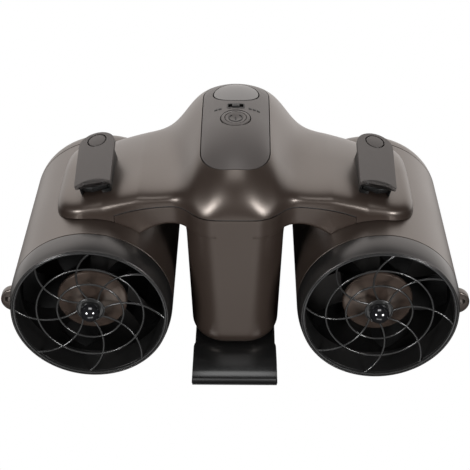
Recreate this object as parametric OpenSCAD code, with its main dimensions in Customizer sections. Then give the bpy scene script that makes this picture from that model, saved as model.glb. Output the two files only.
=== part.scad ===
/* [Pods] */
// Outer radius of each thruster pod
pod_r = 78.7; // [76:0.1:84]
// Distance from the scooter's middle to a pod's axis
pod_dx = 139; // [136:0.5:146]
// Length of a pod from its intake lip to its tail
pod_len = 217; // [205:1:235]
// Wall of the pod's outer shell
pod_wall = 3.1; // [2:0.1:4]
// Wall of the duct liner inside the shell
liner_wall = 3.8; // [2.5:0.1:5]
// Length of the black intake ring, from lip to shell
ring_len = 25; // [18:0.5:32]
// Length of the tail ring, from shell to pod end
tail_len = 19; // [16:0.5:26]
// Length of the spigots that centre both rings in the shell
spigot_len = 8; // [5:0.5:14]
// How much the intake ring narrows towards its lip
lip_taper = 3.4; // [2:0.1:4]
// How far the tail's edge rounds inwards
tail_round = 7; // [4:0.5:9]
// Length of that rounding along the pod
tail_dome = 14; // [8:0.5:15]
// Fit clearance between parts that sit inside each other
seat_gap = 0.3; // [0.15:0.05:0.5]

/* [Intake guard] */
// Number of curved wires in a guard
guard_wires = 8; // [5:1:10]
// Thickness of the guard wires
wire_d = 1.9; // [1.4:0.1:2.6]
// Radius of the outer guard ring
guard_ring_out = 51.5; // [45:0.5:58]
// Radius of the inner guard ring
guard_ring_in = 32; // [25:0.5:38]
// Radius of the ring around the centre cap
guard_ring_hub = 13; // [11:0.5:16]
// Depth of the guard's middle behind the lip
guard_dish = 10; // [7:0.5:13]
// Width of the hoop that holds the wires
hoop_w = 2.4; // [1.8:0.1:3.2]
// Radius of the round cap in the guard's middle
cap_r = 9.6; // [7:0.1:10.5]

/* [Propellers] */
// Number of blades
blades = 5; // [3:1:7]
// Radius of the bronze cap over the rotor hub
spinner_r = 34.2; // [31:0.1:38]
// Depth of the spinner's rim behind the lip
spinner_y = 24.5; // [22:0.5:28]
// Height of the spinner's shallow cone
spinner_cone = 2.4; // [1:0.1:4]
// Length of the rotor hub
rotor_len = 31; // [26:0.5:36]
// Running clearance between blade tips and duct
tip_gap = 1.4; // [0.8:0.1:2.5]
// Blade chord at its middle
blade_chord = 34; // [24:1:38]
// Blade thickness at its root
blade_t = 4.2; // [3:0.1:5]
// Radius of the motor shaft
shaft_r = 4; // [3:0.1:5]
// Radial running clearance of the shaft in bearings and seal
run_gap = 0.05; // [0.02:0.01:0.09]

/* [Motors] */
// Radius of the motor housing
motor_r = 33; // [30:0.5:35]
// Length of the motor housing
motor_len = 78; // [70:1:90]
// Wall of the motor housing
motor_wall = 2.5; // [1.5:0.1:3.5]
// Number of stator vanes that hold the motor in the duct
vanes = 7; // [5:1:9]
// Thickness of a vane
vane_t = 3; // [2:0.1:4]
// Outer radius of a bearing
bearing_r = 11; // [9:0.5:13]
// Width of a bearing
bearing_w = 7; // [5:0.5:9]

/* [Body] */
// Half of the body's width over the pods
arm_x = 173; // [168:0.5:180]
// Front of the arms behind the lip plane
arm_front = 48.5; // [42:0.5:54]
// Rear of the arms behind the lip plane
arm_rear = 188; // [178:1:194]
// Plan radius of the arm corners
arm_corner = 29; // [20:1:36]
// Height of the arms above the pod axis
arm_h = 106.6; // [103:0.1:112]
// Outward fall of the arm tops, in mm per mm
arm_fall = 0.21; // [0.15:0.01:0.28]
// Rounding of the arms' outer edges
arm_round = 11; // [6:0.5:14]
// Height of the hump above the pod axis
hump_h = 155.6; // [150:0.1:162]
// How much the hump's top falls 30 mm to each side of the middle
hump_crown = 8.1; // [4:0.1:10]
// Half width of the hump's rear where it is half as high
hump_w = 60.3; // [56:0.1:64]
// Half width of the hump's front where it is half as high
brow_w = 45.3; // [42:0.1:60]
// Where the hump starts to widen, behind the lip plane
flank_front = 80; // [60:1:100]
// Where the hump has its full width, behind the lip plane
flank_rear = 170; // [140:1:180]
// Where the hump's crest is, behind the lip plane
crest = 119; // [112:1:126]
// How far the hump comes forward of the arms
hump_out = 25; // [20:0.5:27]
// How far the hump reaches behind the arms
hump_tail = 29; // [20:1:33]
// Height of the shell seam above the pod axis at the middle
seam_h = 95; // [90:0.5:97]
// How much the seam falls towards its ends
seam_fall = 12; // [8:0.5:13]
// Half width of the lower shell, where the seam ends
seam_x = 115; // [111:0.5:118]
// Height of the arms' underside above the pod axis
belly_h = 74.5; // [72:0.5:78]
// Wall of the body shells
wall = 3; // [2.4:0.1:3.6]
// Thickness of the gasket in the seam
gasket_t = 0.8; // [0.5:0.1:1.2]

/* [Nose] */
// Half width of the nose at the top
nose_top_w = 47.8; // [45:0.1:50]
// Half width of the nose at the bottom
nose_low_w = 42.4; // [41:0.1:44]
// Plan radius of the nose corners at the top
nose_top_r = 30; // [26:0.5:33]
// Plan radius of the nose corners at the bottom
nose_low_r = 34; // [30:0.5:36]
// Depth of the nose from front to back
nose_depth = 102; // [98:1:108]
// Height of the stand below the nose
foot_h = 19.7; // [17:0.1:24]
// Rounding of the nose's lower edge
nose_round = 17; // [12:0.5:18]

/* [Stand] */
// Half width of the stand at the floor
foot_w = 42.5; // [40:0.5:46]
// Inward lean of the stand's sides
foot_lean = 1.2; // [0.5:0.1:3]
// How far the stand reaches in front of the pod lips
foot_out = 10; // [6:0.5:14]
// Length of the stand's wide part
foot_len = 48; // [40:1:60]
// Length of the whole stand
foot_total = 112; // [100:1:120]
// Plan radius of the stand's front corners
foot_front_r = 1.5; // [1:0.1:4]
// Plan radius of the corners behind the wide part
foot_rear_r = 12; // [8:0.5:16]
// Height of the upright part of the stand's front
foot_upright = 8.8; // [6:0.1:10]
// Depth of the bevel above it
foot_bevel = 6.6; // [3:0.1:8]
// Thickness of the rubber sole
sole_t = 2; // [1:0.1:3]

/* [Control panel] */
// Half width of the panel
panel_w = 32.5; // [31:0.5:35]
// Front end of the panel behind the lip plane
panel_front = 47.5; // [44:0.5:52]
// Rear end of the panel behind the lip plane
panel_rear = 206; // [200:1:207]
// Plan radius of the panel corners
panel_corner = 29.5; // [24:0.5:30]
// Thickness of the panel
panel_t = 3; // [2:0.1:4]
// Radius of the display window
display_r = 22.5; // [18:0.5:24]
// Centre of the display behind the lip plane
display_y = 168; // [164:0.5:172]
// Radius of the power button
power_r = 14; // [12:0.1:15]
// Centre of the power button behind the lip plane
power_y = 112; // [108:0.5:113]
// Travel of the power button
power_travel = 1; // [0.5:0.1:1.5]
// Centre of the mode slot behind the lip plane
slot_y = 134.5; // [132:0.5:136]
// Length of the mode slot
slot_len = 16; // [14:0.5:20]
// Width of the mode slot
slot_w = 6.8; // [5:0.1:7.5]
// Length of the slider knob
knob_len = 7; // [5:0.5:8]
// Gap round the buttons and the window
button_gap = 0.15; // [0.1:0.01:0.3]

/* [Grips] */
// Distance from the middle to a grip's centre
grip_x = 133; // [130:0.5:136]
// Centre of a grip behind the lip plane
grip_y = 104; // [101:0.5:107]
// Outward roll of the grips
grip_roll = 12.5; // [10:0.5:15]
// Forward tilt of the grips
grip_tilt = 7; // [5:0.5:8]
// Width of the grip plate at its round tail
plate_w = 36.6; // [35:0.2:38]
// Width of the grip plate at its front corners
plate_front_w = 35.8; // [33:0.1:36.4]
// Length of the grip plate
plate_len = 82; // [80:1:86]
// Depth of the finger hollow in the plate's front edge
plate_hollow = 7.5; // [5:0.5:9]
// Thickness of the grip plate
plate_t = 4; // [3.5:0.1:5]
// Height of the plate's underside above the arm
grip_h = 14; // [13:0.5:16]
// Width of the block under the plate
block_w = 30; // [29:0.5:31]
// Radius of the thumb button
thumb_r = 8.8; // [7:0.1:10]
// Travel of the thumb button
thumb_travel = 1.5; // [0.8:0.1:2]
// Radius of the trigger's pin
pin_r = 1.5; // [1.2:0.1:1.8]
// Distance from a trigger's pin to the far end of its bar
trigger_span = 22; // [20:0.5:23]

/* [Strap lugs] */
// How far a lug stands out of its pod
lug_out = 11.3; // [9:0.1:14]
// Height of a lug
lug_h = 26.6; // [22:0.1:30]
// Thickness of a lug
lug_t = 9; // [6:0.5:12]
// Radius of the strap hole
lug_hole_r = 3.2; // [2.5:0.1:3.6]
// Where a lug starts behind the lip plane
lug_y = 26.5; // [26:0.5:34]
// How far a lug's middle lies below the pod axis
lug_drop = 2.8; // [0:0.1:8]

/* [Battery] */
// Radius of a battery cell
cell_r = 10.5; // [9:0.1:10.6]
// Length of a battery cell
cell_len = 70; // [65:1:72]
// Spacing of the cells
cell_pitch = 21.2; // [21.2:0.05:21.5]
// Wall of the battery case
case_wall = 1.5; // [1:0.1:1.6]
// Radius of the charging socket
socket_r = 7; // [6:0.1:8]
// How far the socket's cap pulls out
cap_travel = 8; // [6:0.5:12]

/* [Hidden] */
$fn = 72;

bronze = "#5d5048";
black = "#1c1c1e";
grey = "#3a3a3d";

// The origin is on the floor under the middle of the whole object; the intake lips are in front of it.
lip_y = (foot_out - pod_len) / 2;
axis_z = pod_r;
shell_end = pod_len - tail_len;
bore_r = pod_r - pod_wall - seat_gap - liner_wall;
spigot_r = pod_r - pod_wall - seat_gap;
hoop_r = bore_r + hoop_w;
nose_front = arm_front - hump_out;
nose_bottom = foot_h;
nose_top = axis_z + seam_h - gasket_t / 2 - 0.4;
nose_mid = lip_y + nose_front + nose_depth / 2;
hump_power = 6.3;
brow_power = 2.11;
brow_fall = 3;
brow_reach = 60;
hump_rear_power = 3.65;
arm_front_power = 4.6;
arm_rear_power = 1.96;
belly_power = 12;
arm_flat = 92;
tuck_x = pod_dx - pod_r * 0.615;

// ---------------------------------------------------------------- body surface

// Half width of the hump at a depth behind the lip plane
function hump_half(y) =
    let (t = min(1, max(0, (y - lip_y - flank_front) / (flank_rear - flank_front))))
    mix(brow_w, hump_w, t * t * (3 - 2 * t));
// 1 on the hump's crest line, falling to 0 on the arms
function hump(x, y) = 1 / (1 + pow(abs(x) / hump_half(y), hump_power));
// How far the nose swells forward of the arms across the width
function swell(x) = exp(-pow(abs(x) / (nose_top_w - 3.2), 5));
// Rounded corners of the arms, seen from above
function corner(x) =
    let (d = abs(x) - (arm_x - arm_corner))
    d <= 0 ? 0 : arm_corner - sqrt(max(0, pow(arm_corner, 2) - pow(min(d, arm_corner), 2)));
function edge_drop(x) =
    let (d = abs(x) - (arm_x - arm_round))
    d <= 0 ? 0 : arm_round - sqrt(max(0, pow(arm_round, 2) - pow(min(d, arm_round), 2)));
function front_y(x) = lip_y + arm_front - hump_out * swell(x) + corner(x);
function rear_y(x) = lip_y + arm_rear + hump_tail * hump(x, lip_y + arm_rear) - corner(x);
function pod_z(x) = axis_z + sqrt(max(1, pow(pod_r, 2) - pow(abs(x) - pod_dx, 2)));
function arm_z(x) = axis_z + arm_h - arm_fall * max(0, abs(x) - arm_flat) - edge_drop(x);
function crown_z(x, y) = mix(arm_z(x), axis_z + hump_h - hump_crown * pow(x / 30, 2), hump(x, y));
function seam_z(x) = axis_z + seam_h - seam_fall * pow(abs(x) / seam_x, 4);
// Height where the roof's curve starts
function base_z(x) = max(seam_z(x) + gasket_t / 2, pod_z(x) + seat_gap);
// Lower edge of the roof, which steps down to the pods past the ends of the seam
function rim_z(x) = abs(x) <= seam_x + seat_gap ? seam_z(x) + gasket_t / 2 : pod_z(x) + seat_gap;
function belly_z(x) =
    let (u = (abs(x) - (pod_dx - pod_r)) / (tuck_x - (pod_dx - pod_r)))
    abs(x) < tuck_x
        ? axis_z + belly_h - (axis_z + belly_h - pod_z(tuck_x) - seat_gap) * pow(max(0, u), 2)
        : pod_z(x) + seat_gap;
function mix(a, b, k) = a + (b - a) * k;

// Power of the roof's curve at a place, s of the way from the crest to the front or the rear
function roof_power(x, y, s) =
    let (brow = brow_power - brow_fall * (1 - exp(-pow(x / brow_reach, 2))) * pow(s, 1.4))
    y < lip_y + crest
        ? mix(arm_front_power, brow, hump(x, y))
        : mix(arm_rear_power, hump_rear_power, hump(x, y));
// Height of the curve s of the way out, from 1 at the crest to 0 at its end
function bulge(s, p) = pow(max(0, 1 - pow(s, p)), 1 / p);
// How far along a curve of power p its point at an angle lies
function along(a, p) = pow(abs(cos(a)), 2 / p);

// Point of the roof's section at x. a runs from 180 at the front to 0 at the rear.
function roof_point(x, a, inset) =
    let (
        yc = lip_y + crest,
        s = along(a, roof_power(x, a > 90 ? yc - 1 : yc, 0)),
        y = a > 90 ? yc - s * (yc - front_y(x) - inset) : yc + s * (rear_y(x) - inset - yc)
    )
    a == 0 || a == 180
        ? [x, y, rim_z(x)]
        : [x, y, mix(base_z(x), crown_z(x, y) - inset, bulge(s, roof_power(x, y, s)))];

// Height of the roof above a place on the floor
function roof_z(x, y) =
    let (
        yc = lip_y + crest,
        s = min(1, y < yc ? (yc - y) / (yc - front_y(x)) : (y - yc) / (rear_y(x) - yc))
    )
    mix(base_z(x), crown_z(x, y), bulge(s, roof_power(x, y, s)));

// Point of the belly's section at x, for the same angles
function belly_point(x, a, inset) =
    let (
        yc = lip_y + crest,
        s = along(a, belly_power),
        y = a > 90 ? yc - s * (yc - front_y(x) - inset) : yc + s * (rear_y(x) - inset - yc)
    )
    [x, y, mix(seam_z(x) - gasket_t / 2, belly_z(x) + inset, bulge(s, belly_power))];

// Solid skinned over a list of closed loops with equally many points
module loft(loops) {
    n = len(loops[0]);
    m = len(loops);
    points = [for (l = loops) each l];
    sides = [for (i = [0:m - 2]) for (j = [0:n - 1])
        let (a = i * n + j, b = i * n + (j + 1) % n)
        each [[a, b, b + n], [a, b + n, a + n]]];
    cap = [for (j = [0:floor((n - 3) / 2)])
        each concat([[j, j + 1, n - 1 - j]], j + 1 < n - 2 - j ? [[j + 1, n - 2 - j, n - 1 - j]] : [])];
    start = [for (t = cap) [t[2], t[1], t[0]]];
    end = [for (t = cap) [for (v = t) v + (m - 1) * n]];
    polyhedron(points, concat(start, sides, end));
}

// Solid between a lower and an upper height field over a rectangle
module field(x0, x1, nx, y0, y1, ny, low, high) {
    loops = [for (i = [0:nx])
        let (x = mix(x0, x1, i / nx))
        concat(
            [for (j = [0:ny]) let (y = mix(y0, y1, j / ny)) [x, y, high(x, y)]],
            [for (j = [ny:-1:0]) let (y = mix(y0, y1, j / ny)) [x, y, low(x, y)]])];
    loft(loops);
}

// Stations across the body: close together where it rounds off, and doubled at the end walls
// and where the seam ends
function stations(end, steps, inner) = let (
        step = seam_x + seat_gap,
        plain = concat(
            [for (i = [0:steps]) (end - inner) * (1 - pow(1 - i / steps, 1.35))],
            [end - inner + 0.1, end]),
        half = end < step ? plain : concat(
            [for (x = plain) if (x < step - 1) x],
            [step, step + 0.1],
            [for (x = plain) if (x > step + 1) x]))
    concat([for (i = [len(half) - 1:-1:1]) -half[i]], half);

// Shell whose loops run out along the outside and back along the inside
module shell(end, steps, arc, upward, outer, inner, rim) {
    xs = stations(end, steps, wall);
    angles = [for (j = [0:arc]) let (a = 180 * j / arc) upward ? 180 - a : a];
    loft([for (x = xs)
        concat(
            [for (a = angles) outer(x, a)],
            abs(x) <= end - wall + 0.05
                ? [for (j = [arc:-1:0]) inner(x, angles[j])]
                : [for (j = [arc:-1:0])
                    let (f = inner(x, angles[0]), r = inner(x, angles[arc]))
                    [x, mix(f[1], r[1], j / arc), rim(x)]])]);
}

screw_places = [for (sx = [-1, 1]) for (y = [78, 160]) [sx * 74, lip_y + y]];
screw_r = 1.6;
boss_r = 4;

module top_cover() {
    split_z = axis_z + seam_h - 8;
    color(bronze) difference() {
        union() {
            shell(arm_x, 22, 22, true, function(x, a) roof_point(x, a, 0),
                function(x, a) roof_point(x, a, wall), function(x) rim_z(x));
            for (p = screw_places) for (turn = [0, 90]) {
                h = roof_z(p[0], p[1]) - split_z - wall / 2 - 1;
                translate([p[0], p[1], split_z])
                    rotate(turn)
                        hull() {
                            cylinder(r = boss_r, h = h, $fn = 20);
                            translate([-boss_r - 4, -0.8, h - 3]) cube([2 * boss_r + 8, 1.6, 3]);
                        }
            }
        }
        translate([0, 0, axis_z + seam_h + 12])
            linear_extrude(hump_h) panel_outline(seat_gap);
        for (p = screw_places)
            translate([p[0], p[1], split_z - 1])
                cylinder(r = screw_r, h = 14, $fn = 20);
    }
}

// Plan outline of the control panel
module panel_outline(grow) {
    hull()
        for (sx = [-1, 1]) for (y = [panel_front, panel_rear - 2 * panel_corner])
            translate([sx * (panel_w - panel_corner), lip_y + y + panel_corner])
                circle(r = panel_corner + grow, $fn = 32);
}

module nose_slice(z, w, r, inset) {
    hw = w - inset;
    hd = nose_depth / 2 - inset;
    rr = max(2, r - inset);
    translate([0, nose_mid, z])
        linear_extrude(0.01)
            hull()
                for (sx = [-1, 1]) for (sy = [-1, 1])
                    translate([sx * (hw - rr), sy * (hd - rr)])
                        circle(r = rr, $fn = 32);
}

function nose_k(z) = (z - nose_bottom) / (nose_top - nose_bottom);
function nose_w(z) = mix(nose_low_w, nose_top_w, nose_k(z));
function nose_r(z) = mix(nose_low_r, nose_top_r, nose_k(z));

module nose_body(z0, z1, inset) {
    hull() {
        nose_slice(z0, nose_w(z0), nose_r(z0), inset);
        nose_slice(z1, nose_w(z1), nose_r(z1), inset);
    }
}

nose_floor = nose_bottom + nose_round * 0.65;
charge_z = axis_z + 50;
nose_back = nose_mid + nose_depth / 2;

module lower_shell() {
    rounds = 5;
    split_z = axis_z + seam_h - 8.2;
    color(bronze) difference() {
        union() {
            shell(seam_x, 18, 16, false, function(x, a) belly_point(x, a, 0),
                function(x, a) belly_point(x, a, wall), function(x) seam_z(x) - gasket_t / 2);
            nose_body(nose_bottom + nose_round, nose_top, 0);
            for (i = [0:rounds - 1])
                hull()
                    for (k = [i, i + 1]) {
                        a = 90 * k / rounds;
                        z = nose_bottom + nose_round * (1 - sin(a));
                        nose_slice(z, nose_w(z), nose_r(z), nose_round * (1 - cos(a)));
                    }
            for (p = screw_places)
                translate([p[0], p[1], belly_z(p[0]) + 1])
                    cylinder(r = boss_r, h = split_z - belly_z(p[0]) - 1, $fn = 20);
        }
        nose_body(nose_floor, nose_top + 1, wall);
        for (p = screw_places) {
            translate([p[0], p[1], belly_z(p[0]) - 1])
                cylinder(r = screw_r, h = 30, $fn = 20);
            translate([p[0], p[1], belly_z(p[0]) - 9])
                cylinder(r = boss_r - 0.8, h = 10.5, $fn = 20);
        }
        translate([0, nose_back - wall - 1, charge_z])
            rotate([-90, 0, 0])
                cylinder(r = socket_r + seat_gap, h = wall + 4, $fn = 32);
        for (p = stand_screw_places)
            translate([p[0], p[1], nose_bottom - 1])
                cylinder(r = screw_r, h = wall + 1.5, $fn = 20);
    }
}

// Flat strip that lies in the seam all round between the two shells
module shell_gasket() {
    xs = stations(seam_x, 18, wall);
    trim = 0.3;
    color(black)
        for (side = [180, 0])
            loft([for (x = xs)
                let (
                    o = belly_point(x, side, trim), i = belly_point(x, side, wall - trim),
                    z = seam_z(x), t = gasket_t / 2 - 0.15,
                    a = side == 180 ? o : i, b = side == 180 ? i : o
                )
                [[x, a[1], z + t], [x, b[1], z + t], [x, b[1], z - t], [x, a[1], z - t]]]);
}

module cover_screws() {
    color("silver")
        for (p = screw_places)
            translate([p[0], p[1], belly_z(p[0]) - 0.9]) {
                cylinder(r = boss_r - 1.1, h = 2.4);
                cylinder(r = screw_r - 0.15, h = axis_z + seam_h + 3 - belly_z(p[0]));
            }
}

// ---------------------------------------------------------------- control panel

function slope(y) = atan((roof_z(0, lip_y + y + 1) - roof_z(0, lip_y + y - 1)) / 2);
module on_panel(y) {
    translate([0, lip_y + y, roof_z(0, lip_y + y)])
        rotate([slope(y), 0, 0])
            children();
}
module panel_slab(top, thick, half, y0, y1, nx, ny) {
    field(-half, half, nx, lip_y + y0, lip_y + y1, ny,
        function(x, y) roof_z(x, y) + top - thick, function(x, y) roof_z(x, y) + top);
}

module control_panel() {
    color(grey) difference() {
        intersection() {
            panel_slab(0, panel_t, panel_w + 1, panel_front - 1, panel_rear + 1, 10, 34);
            translate([0, 0, axis_z + seam_h]) linear_extrude(hump_h) panel_outline(0);
        }
        on_panel(display_y) cylinder(r = display_r + button_gap, h = 20, center = true);
        on_panel(power_y) cylinder(r = power_r + button_gap, h = 20, center = true);
        on_panel(slot_y) cube([slot_len, slot_w, 20], center = true);
    }
}

module display_window() {
    color("#0b0b0d") intersection() {
        panel_slab(0, panel_t, display_r + 2, display_y - display_r - 2, display_y + display_r + 2, 8, 8);
        on_panel(display_y) cylinder(r = display_r, h = 24, center = true);
    }
}

board_t = 1.6;
module display_board() {
    board_r = 15;
    color("darkgreen")
        on_panel(display_y)
            translate([0, 0, -panel_t - 3.2 - board_t])
                difference() {
                    union() {
                        cylinder(r = board_r, h = board_t);
                        cylinder(r = 7, h = board_t + 2.3);
                    }
                    for (sx = [-1, 1])
                        translate([sx * (board_r - 3), 0, -1]) cylinder(r = 1.2, h = 9);
                }
}

module power_button() {
    dome_r = 80;
    color(grey) on_panel(power_y) union() {
        intersection() {
            translate([0, 0, -dome_r]) sphere(r = dome_r, $fn = 200);
            translate([0, 0, -panel_t]) cylinder(r = power_r, h = panel_t + 2);
        }
        translate([0, 0, -panel_t - 3]) cylinder(r = 4, h = 3.5);
    }
}

module mode_slider() {
    color(black) on_panel(slot_y) union() {
        translate([0, 0, -2]) cube([knob_len, slot_w - 2 * button_gap, 5.8], center = true);
        translate([0, 0, 1]) cube([1.2, slot_w - 1.2, 1], center = true);
        translate([0, 0, -panel_t - 2]) cube([knob_len + 4, slot_w + 3, 1.2], center = true);
    }
}

// ---------------------------------------------------------------- inside the nose

case_half_w = nose_low_w - wall - 1;
case_half_d = nose_depth / 2 - wall - 2;
case_h = cell_len + 5;
case_corner = 26;
module rounded_box(hw, hd, h, r) {
    union() {
        for (sx = [-1, 1]) for (sy = [-1, 1])
            translate([sx * (hw - r), sy * (hd - r), 0]) cylinder(r = r, h = h);
        translate([-hw, -hd + r, 0]) cube([2 * hw, 2 * (hd - r), h]);
        translate([-hw + r, -hd, 0]) cube([2 * (hw - r), 2 * hd, h]);
    }
}

module battery_case() {
    color("dimgray")
        translate([0, nose_mid, nose_floor])
            difference() {
                rounded_box(case_half_w, case_half_d, case_h, case_corner);
                translate([0, 0, 2])
                    rounded_box(case_half_w - case_wall, case_half_d - case_wall, case_h,
                        case_corner - case_wall);
            }
}

module battery_cells() {
    color("steelblue")
        for (row = [-1.5:1.5])
            for (col = abs(row) > 1 ? [-0.5, 0.5] : [-1, 0, 1])
                translate([col * cell_pitch, nose_mid + row * cell_pitch, nose_floor + 2])
                    cylinder(r = cell_r, h = cell_len);
}

module controller_board() {
    color("darkgreen")
        translate([0, nose_mid, nose_floor + case_h])
            union() {
                rounded_box(case_half_w - 2, case_half_d - 1, board_t, case_corner - 2);
                for (i = [-1:1])
                    translate([i * case_half_w * 0.44, -case_half_d * 0.57, 0.5]) cylinder(r = 6, h = 22);
                for (i = [-1, 1]) for (j = [0:2])
                    translate([i * case_half_w * 0.39 - 6, case_half_d * (0.04 + 0.26 * j), 0.5])
                        cube([12, 9, 5]);
                translate([-case_half_w * 0.45, case_half_d * 0.8, 0.5]) cube([case_half_w * 0.9, 6, 9]);
            }
}

plug_r = 3.4;
socket_len = 12;
module charge_socket() {
    color(black)
        translate([0, nose_back - socket_len + 1, charge_z])
            rotate([-90, 0, 0])
                difference() {
                    union() {
                        cylinder(r = socket_r, h = socket_len);
                        cylinder(r = socket_r + 2, h = socket_len - 1 - wall - seat_gap);
                    }
                    translate([0, 0, 3]) cylinder(r = plug_r + run_gap, h = socket_len);
                }
}

module charge_cap() {
    color(black)
        translate([0, nose_back + 1 + seat_gap, charge_z])
            rotate([-90, 0, 0])
                union() {
                    cylinder(r = socket_r + 2.5, h = 2.5);
                    translate([0, 0, -7]) cylinder(r = plug_r, h = 8);
                    translate([-1.5, -socket_r, 1]) cube([3, 2 * socket_r, 3]);
                }
}

// ---------------------------------------------------------------- stand

foot_front = lip_y - foot_out;
stand_screw_places = [for (sx = [-1, 1]) for (y = [0.52, 0.89]) [sx * 18, foot_front + y * foot_total]];
module stand_plan(inset) {
    narrow_w = foot_w - 1.5;
    narrow_r = 7;
    union() {
        hull()
            for (sx = [-1, 1]) {
                translate([sx * (foot_w - foot_front_r), foot_front + foot_front_r])
                    circle(r = foot_front_r - inset, $fn = 48);
                translate([sx * (foot_w - foot_rear_r), foot_front + foot_len - foot_rear_r])
                    circle(r = foot_rear_r - inset, $fn = 48);
            }
        hull()
            for (sx = [-1, 1]) for (y = [narrow_r, foot_total - narrow_r])
                translate([sx * (narrow_w - narrow_r), foot_front + y])
                    circle(r = narrow_r - inset, $fn = 48);
    }
}

module stand() {
    color(black) difference() {
        intersection() {
            translate([0, 0, sole_t]) linear_extrude(foot_h - sole_t) stand_plan(0);
            translate([0, foot_front + foot_total + 1, 0])
                rotate([90, 0, 0])
                    linear_extrude(foot_total + 2)
                        polygon([[-foot_w, 0], [foot_w, 0],
                            [foot_w - foot_lean, foot_h], [-foot_w + foot_lean, foot_h]]);
            translate([-foot_w - 1, 0, 0])
                rotate([90, 0, 90])
                    linear_extrude(2 * foot_w + 2)
                        polygon([[foot_front, 0], [foot_front, foot_upright],
                            [foot_front + foot_bevel, foot_upright + foot_bevel * 0.75],
                            [foot_front + 40, foot_h],
                            [foot_front + foot_total + 1, foot_h], [foot_front + foot_total + 1, 0]]);
        }
        for (p = stand_screw_places) {
            translate([p[0], p[1], 0]) cylinder(r = screw_r, h = foot_h + 1);
            translate([p[0], p[1], 0]) cylinder(r = boss_r - 0.8, h = sole_t + 4);
        }
    }
}

module stand_sole() {
    color(black) difference() {
        linear_extrude(sole_t) stand_plan(0.6);
        for (p = stand_screw_places)
            translate([p[0], p[1], -1]) cylinder(r = boss_r, h = sole_t + 2);
    }
}

module stand_screws() {
    color("silver")
        for (p = stand_screw_places)
            translate([p[0], p[1], sole_t + 2]) {
                cylinder(r = boss_r - 1.1, h = 2);
                cylinder(r = screw_r - 0.15, h = foot_h - sole_t - 2 + wall);
            }
}

// ---------------------------------------------------------------- thruster pods

// Puts a pod part in place: its axis becomes the pod's axis, and its z runs back from the lip
module in_pod(side) {
    translate([side * pod_dx, lip_y, axis_z])
        rotate([-90, 0, 0])
            children();
}
module turned(points) {
    rotate_extrude() polygon(points);
}
// Points on an arc of an ellipse
function arc_points(cx, cy, rx, ry, a0, a1, n) =
    [for (i = [0:n]) let (a = mix(a0, a1, i / n)) [cx + rx * cos(a), cy + ry * sin(a)]];

module duct_shell(side) {
    color(bronze) in_pod(side)
        turned([[pod_r - pod_wall, ring_len], [pod_r, ring_len], [pod_r, shell_end],
            [pod_r - pod_wall, shell_end]]);
}

hoop_y = 0.8;
hoop_t = 3.2;
lip_edge = 1;
// Outer radius of the intake ring at a depth behind the lip
function ring_r(y) = pod_r - lip_taper * pow(1 - y / ring_len, 2.2);
module intake_ring(side) {
    steps = 8;
    edge_y = lip_edge + 0.5;
    color(black) in_pod(side)
        turned(concat(
            [[hoop_r + 0.05, 0.5]],
            arc_points(ring_r(edge_y) - lip_edge, edge_y, lip_edge, lip_edge, -90, 0, 4),
            [for (i = [1:steps]) let (y = mix(edge_y, ring_len, i / steps)) [ring_r(y), y]],
            [[spigot_r, ring_len], [spigot_r, ring_len + spigot_len], [bore_r, ring_len + spigot_len],
                [bore_r, hoop_y + hoop_t], [hoop_r + 0.05, hoop_y + hoop_t]]));
}

// One curved wire: a circular arc from the hub ring out to the hoop, lying on a shallow cone
module guard_wire(turn) {
    r0 = guard_ring_hub;
    r1 = hoop_r - 0.8;
    bow = 43.5;
    lead = 12;
    rise = guard_dish - hoop_y - hoop_t / 2;
    p0 = [r0 * cos(lead), r0 * sin(lead)];
    p1 = [r1, 0];
    d = norm(p1 - p0);
    dir = atan2(p1[1] - p0[1], p1[0] - p0[0]);
    half = asin(d / 2 / bow);
    rotate(turn)
        translate([p0[0], p0[1], guard_dish])
            rotate([0, 0, dir])
                rotate([0, asin(rise / d), 0])
                    translate([d / 2, -bow * cos(half), 0])
                        rotate([0, 0, 90 - half])
                            rotate_extrude(angle = 2 * half)
                                translate([bow, 0]) circle(d = wire_d, $fn = 16);
}
function dish_z(r) =
    guard_dish - (guard_dish - hoop_y - hoop_t / 2) * (r - guard_ring_hub) / (hoop_r - guard_ring_hub);

module intake_guard(side) {
    lead = side < 0 ? -4.7 : -9;
    color(black) in_pod(side) union() {
        turned([
            [bore_r + 0.3, hoop_y], [hoop_r, hoop_y],
            [hoop_r, hoop_y + hoop_t], [bore_r + 0.3, hoop_y + hoop_t],
        ]);
        for (r = [guard_ring_hub, guard_ring_in, guard_ring_out])
            translate([0, 0, dish_z(r)])
                rotate_extrude() translate([r, 0]) circle(d = wire_d, $fn = 16);
        translate([0, 0, guard_dish - 1]) cylinder(r = guard_ring_hub, h = 2.2);
        for (k = [0:guard_wires - 1])
            mirror([0, 1, 0]) guard_wire(360 / guard_wires * k + lead);
    }
}

module guard_cap(side) {
    color(black) in_pod(side)
        difference() {
            translate([0, 0, guard_dish - cap_r * 0.4]) sphere(r = cap_r);
            translate([0, 0, guard_dish - 1]) cylinder(r = cap_r + 2, h = 2 * cap_r);
        }
}

liner_y = ring_len + spigot_len;
liner_end = shell_end - spigot_len;
motor_y = spinner_y + rotor_len + 7;
vane_y = motor_y + 34;
vane_len = 40;
collar_r = motor_r + 3;
module duct_liner(side) {
    color(black) in_pod(side) union() {
        turned([[bore_r, liner_y], [spigot_r, liner_y], [spigot_r, liner_end], [bore_r, liner_end]]);
        turned([[motor_r + run_gap, vane_y], [collar_r, vane_y], [collar_r, vane_y + vane_len],
            [motor_r + run_gap, vane_y + vane_len]]);
        for (k = [0:vanes - 1])
            rotate(360 / vanes * k)
                translate([collar_r - 1, -vane_t / 2, vane_y])
                    cube([bore_r - collar_r + 2, vane_t, vane_len]);
    }
}

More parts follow.
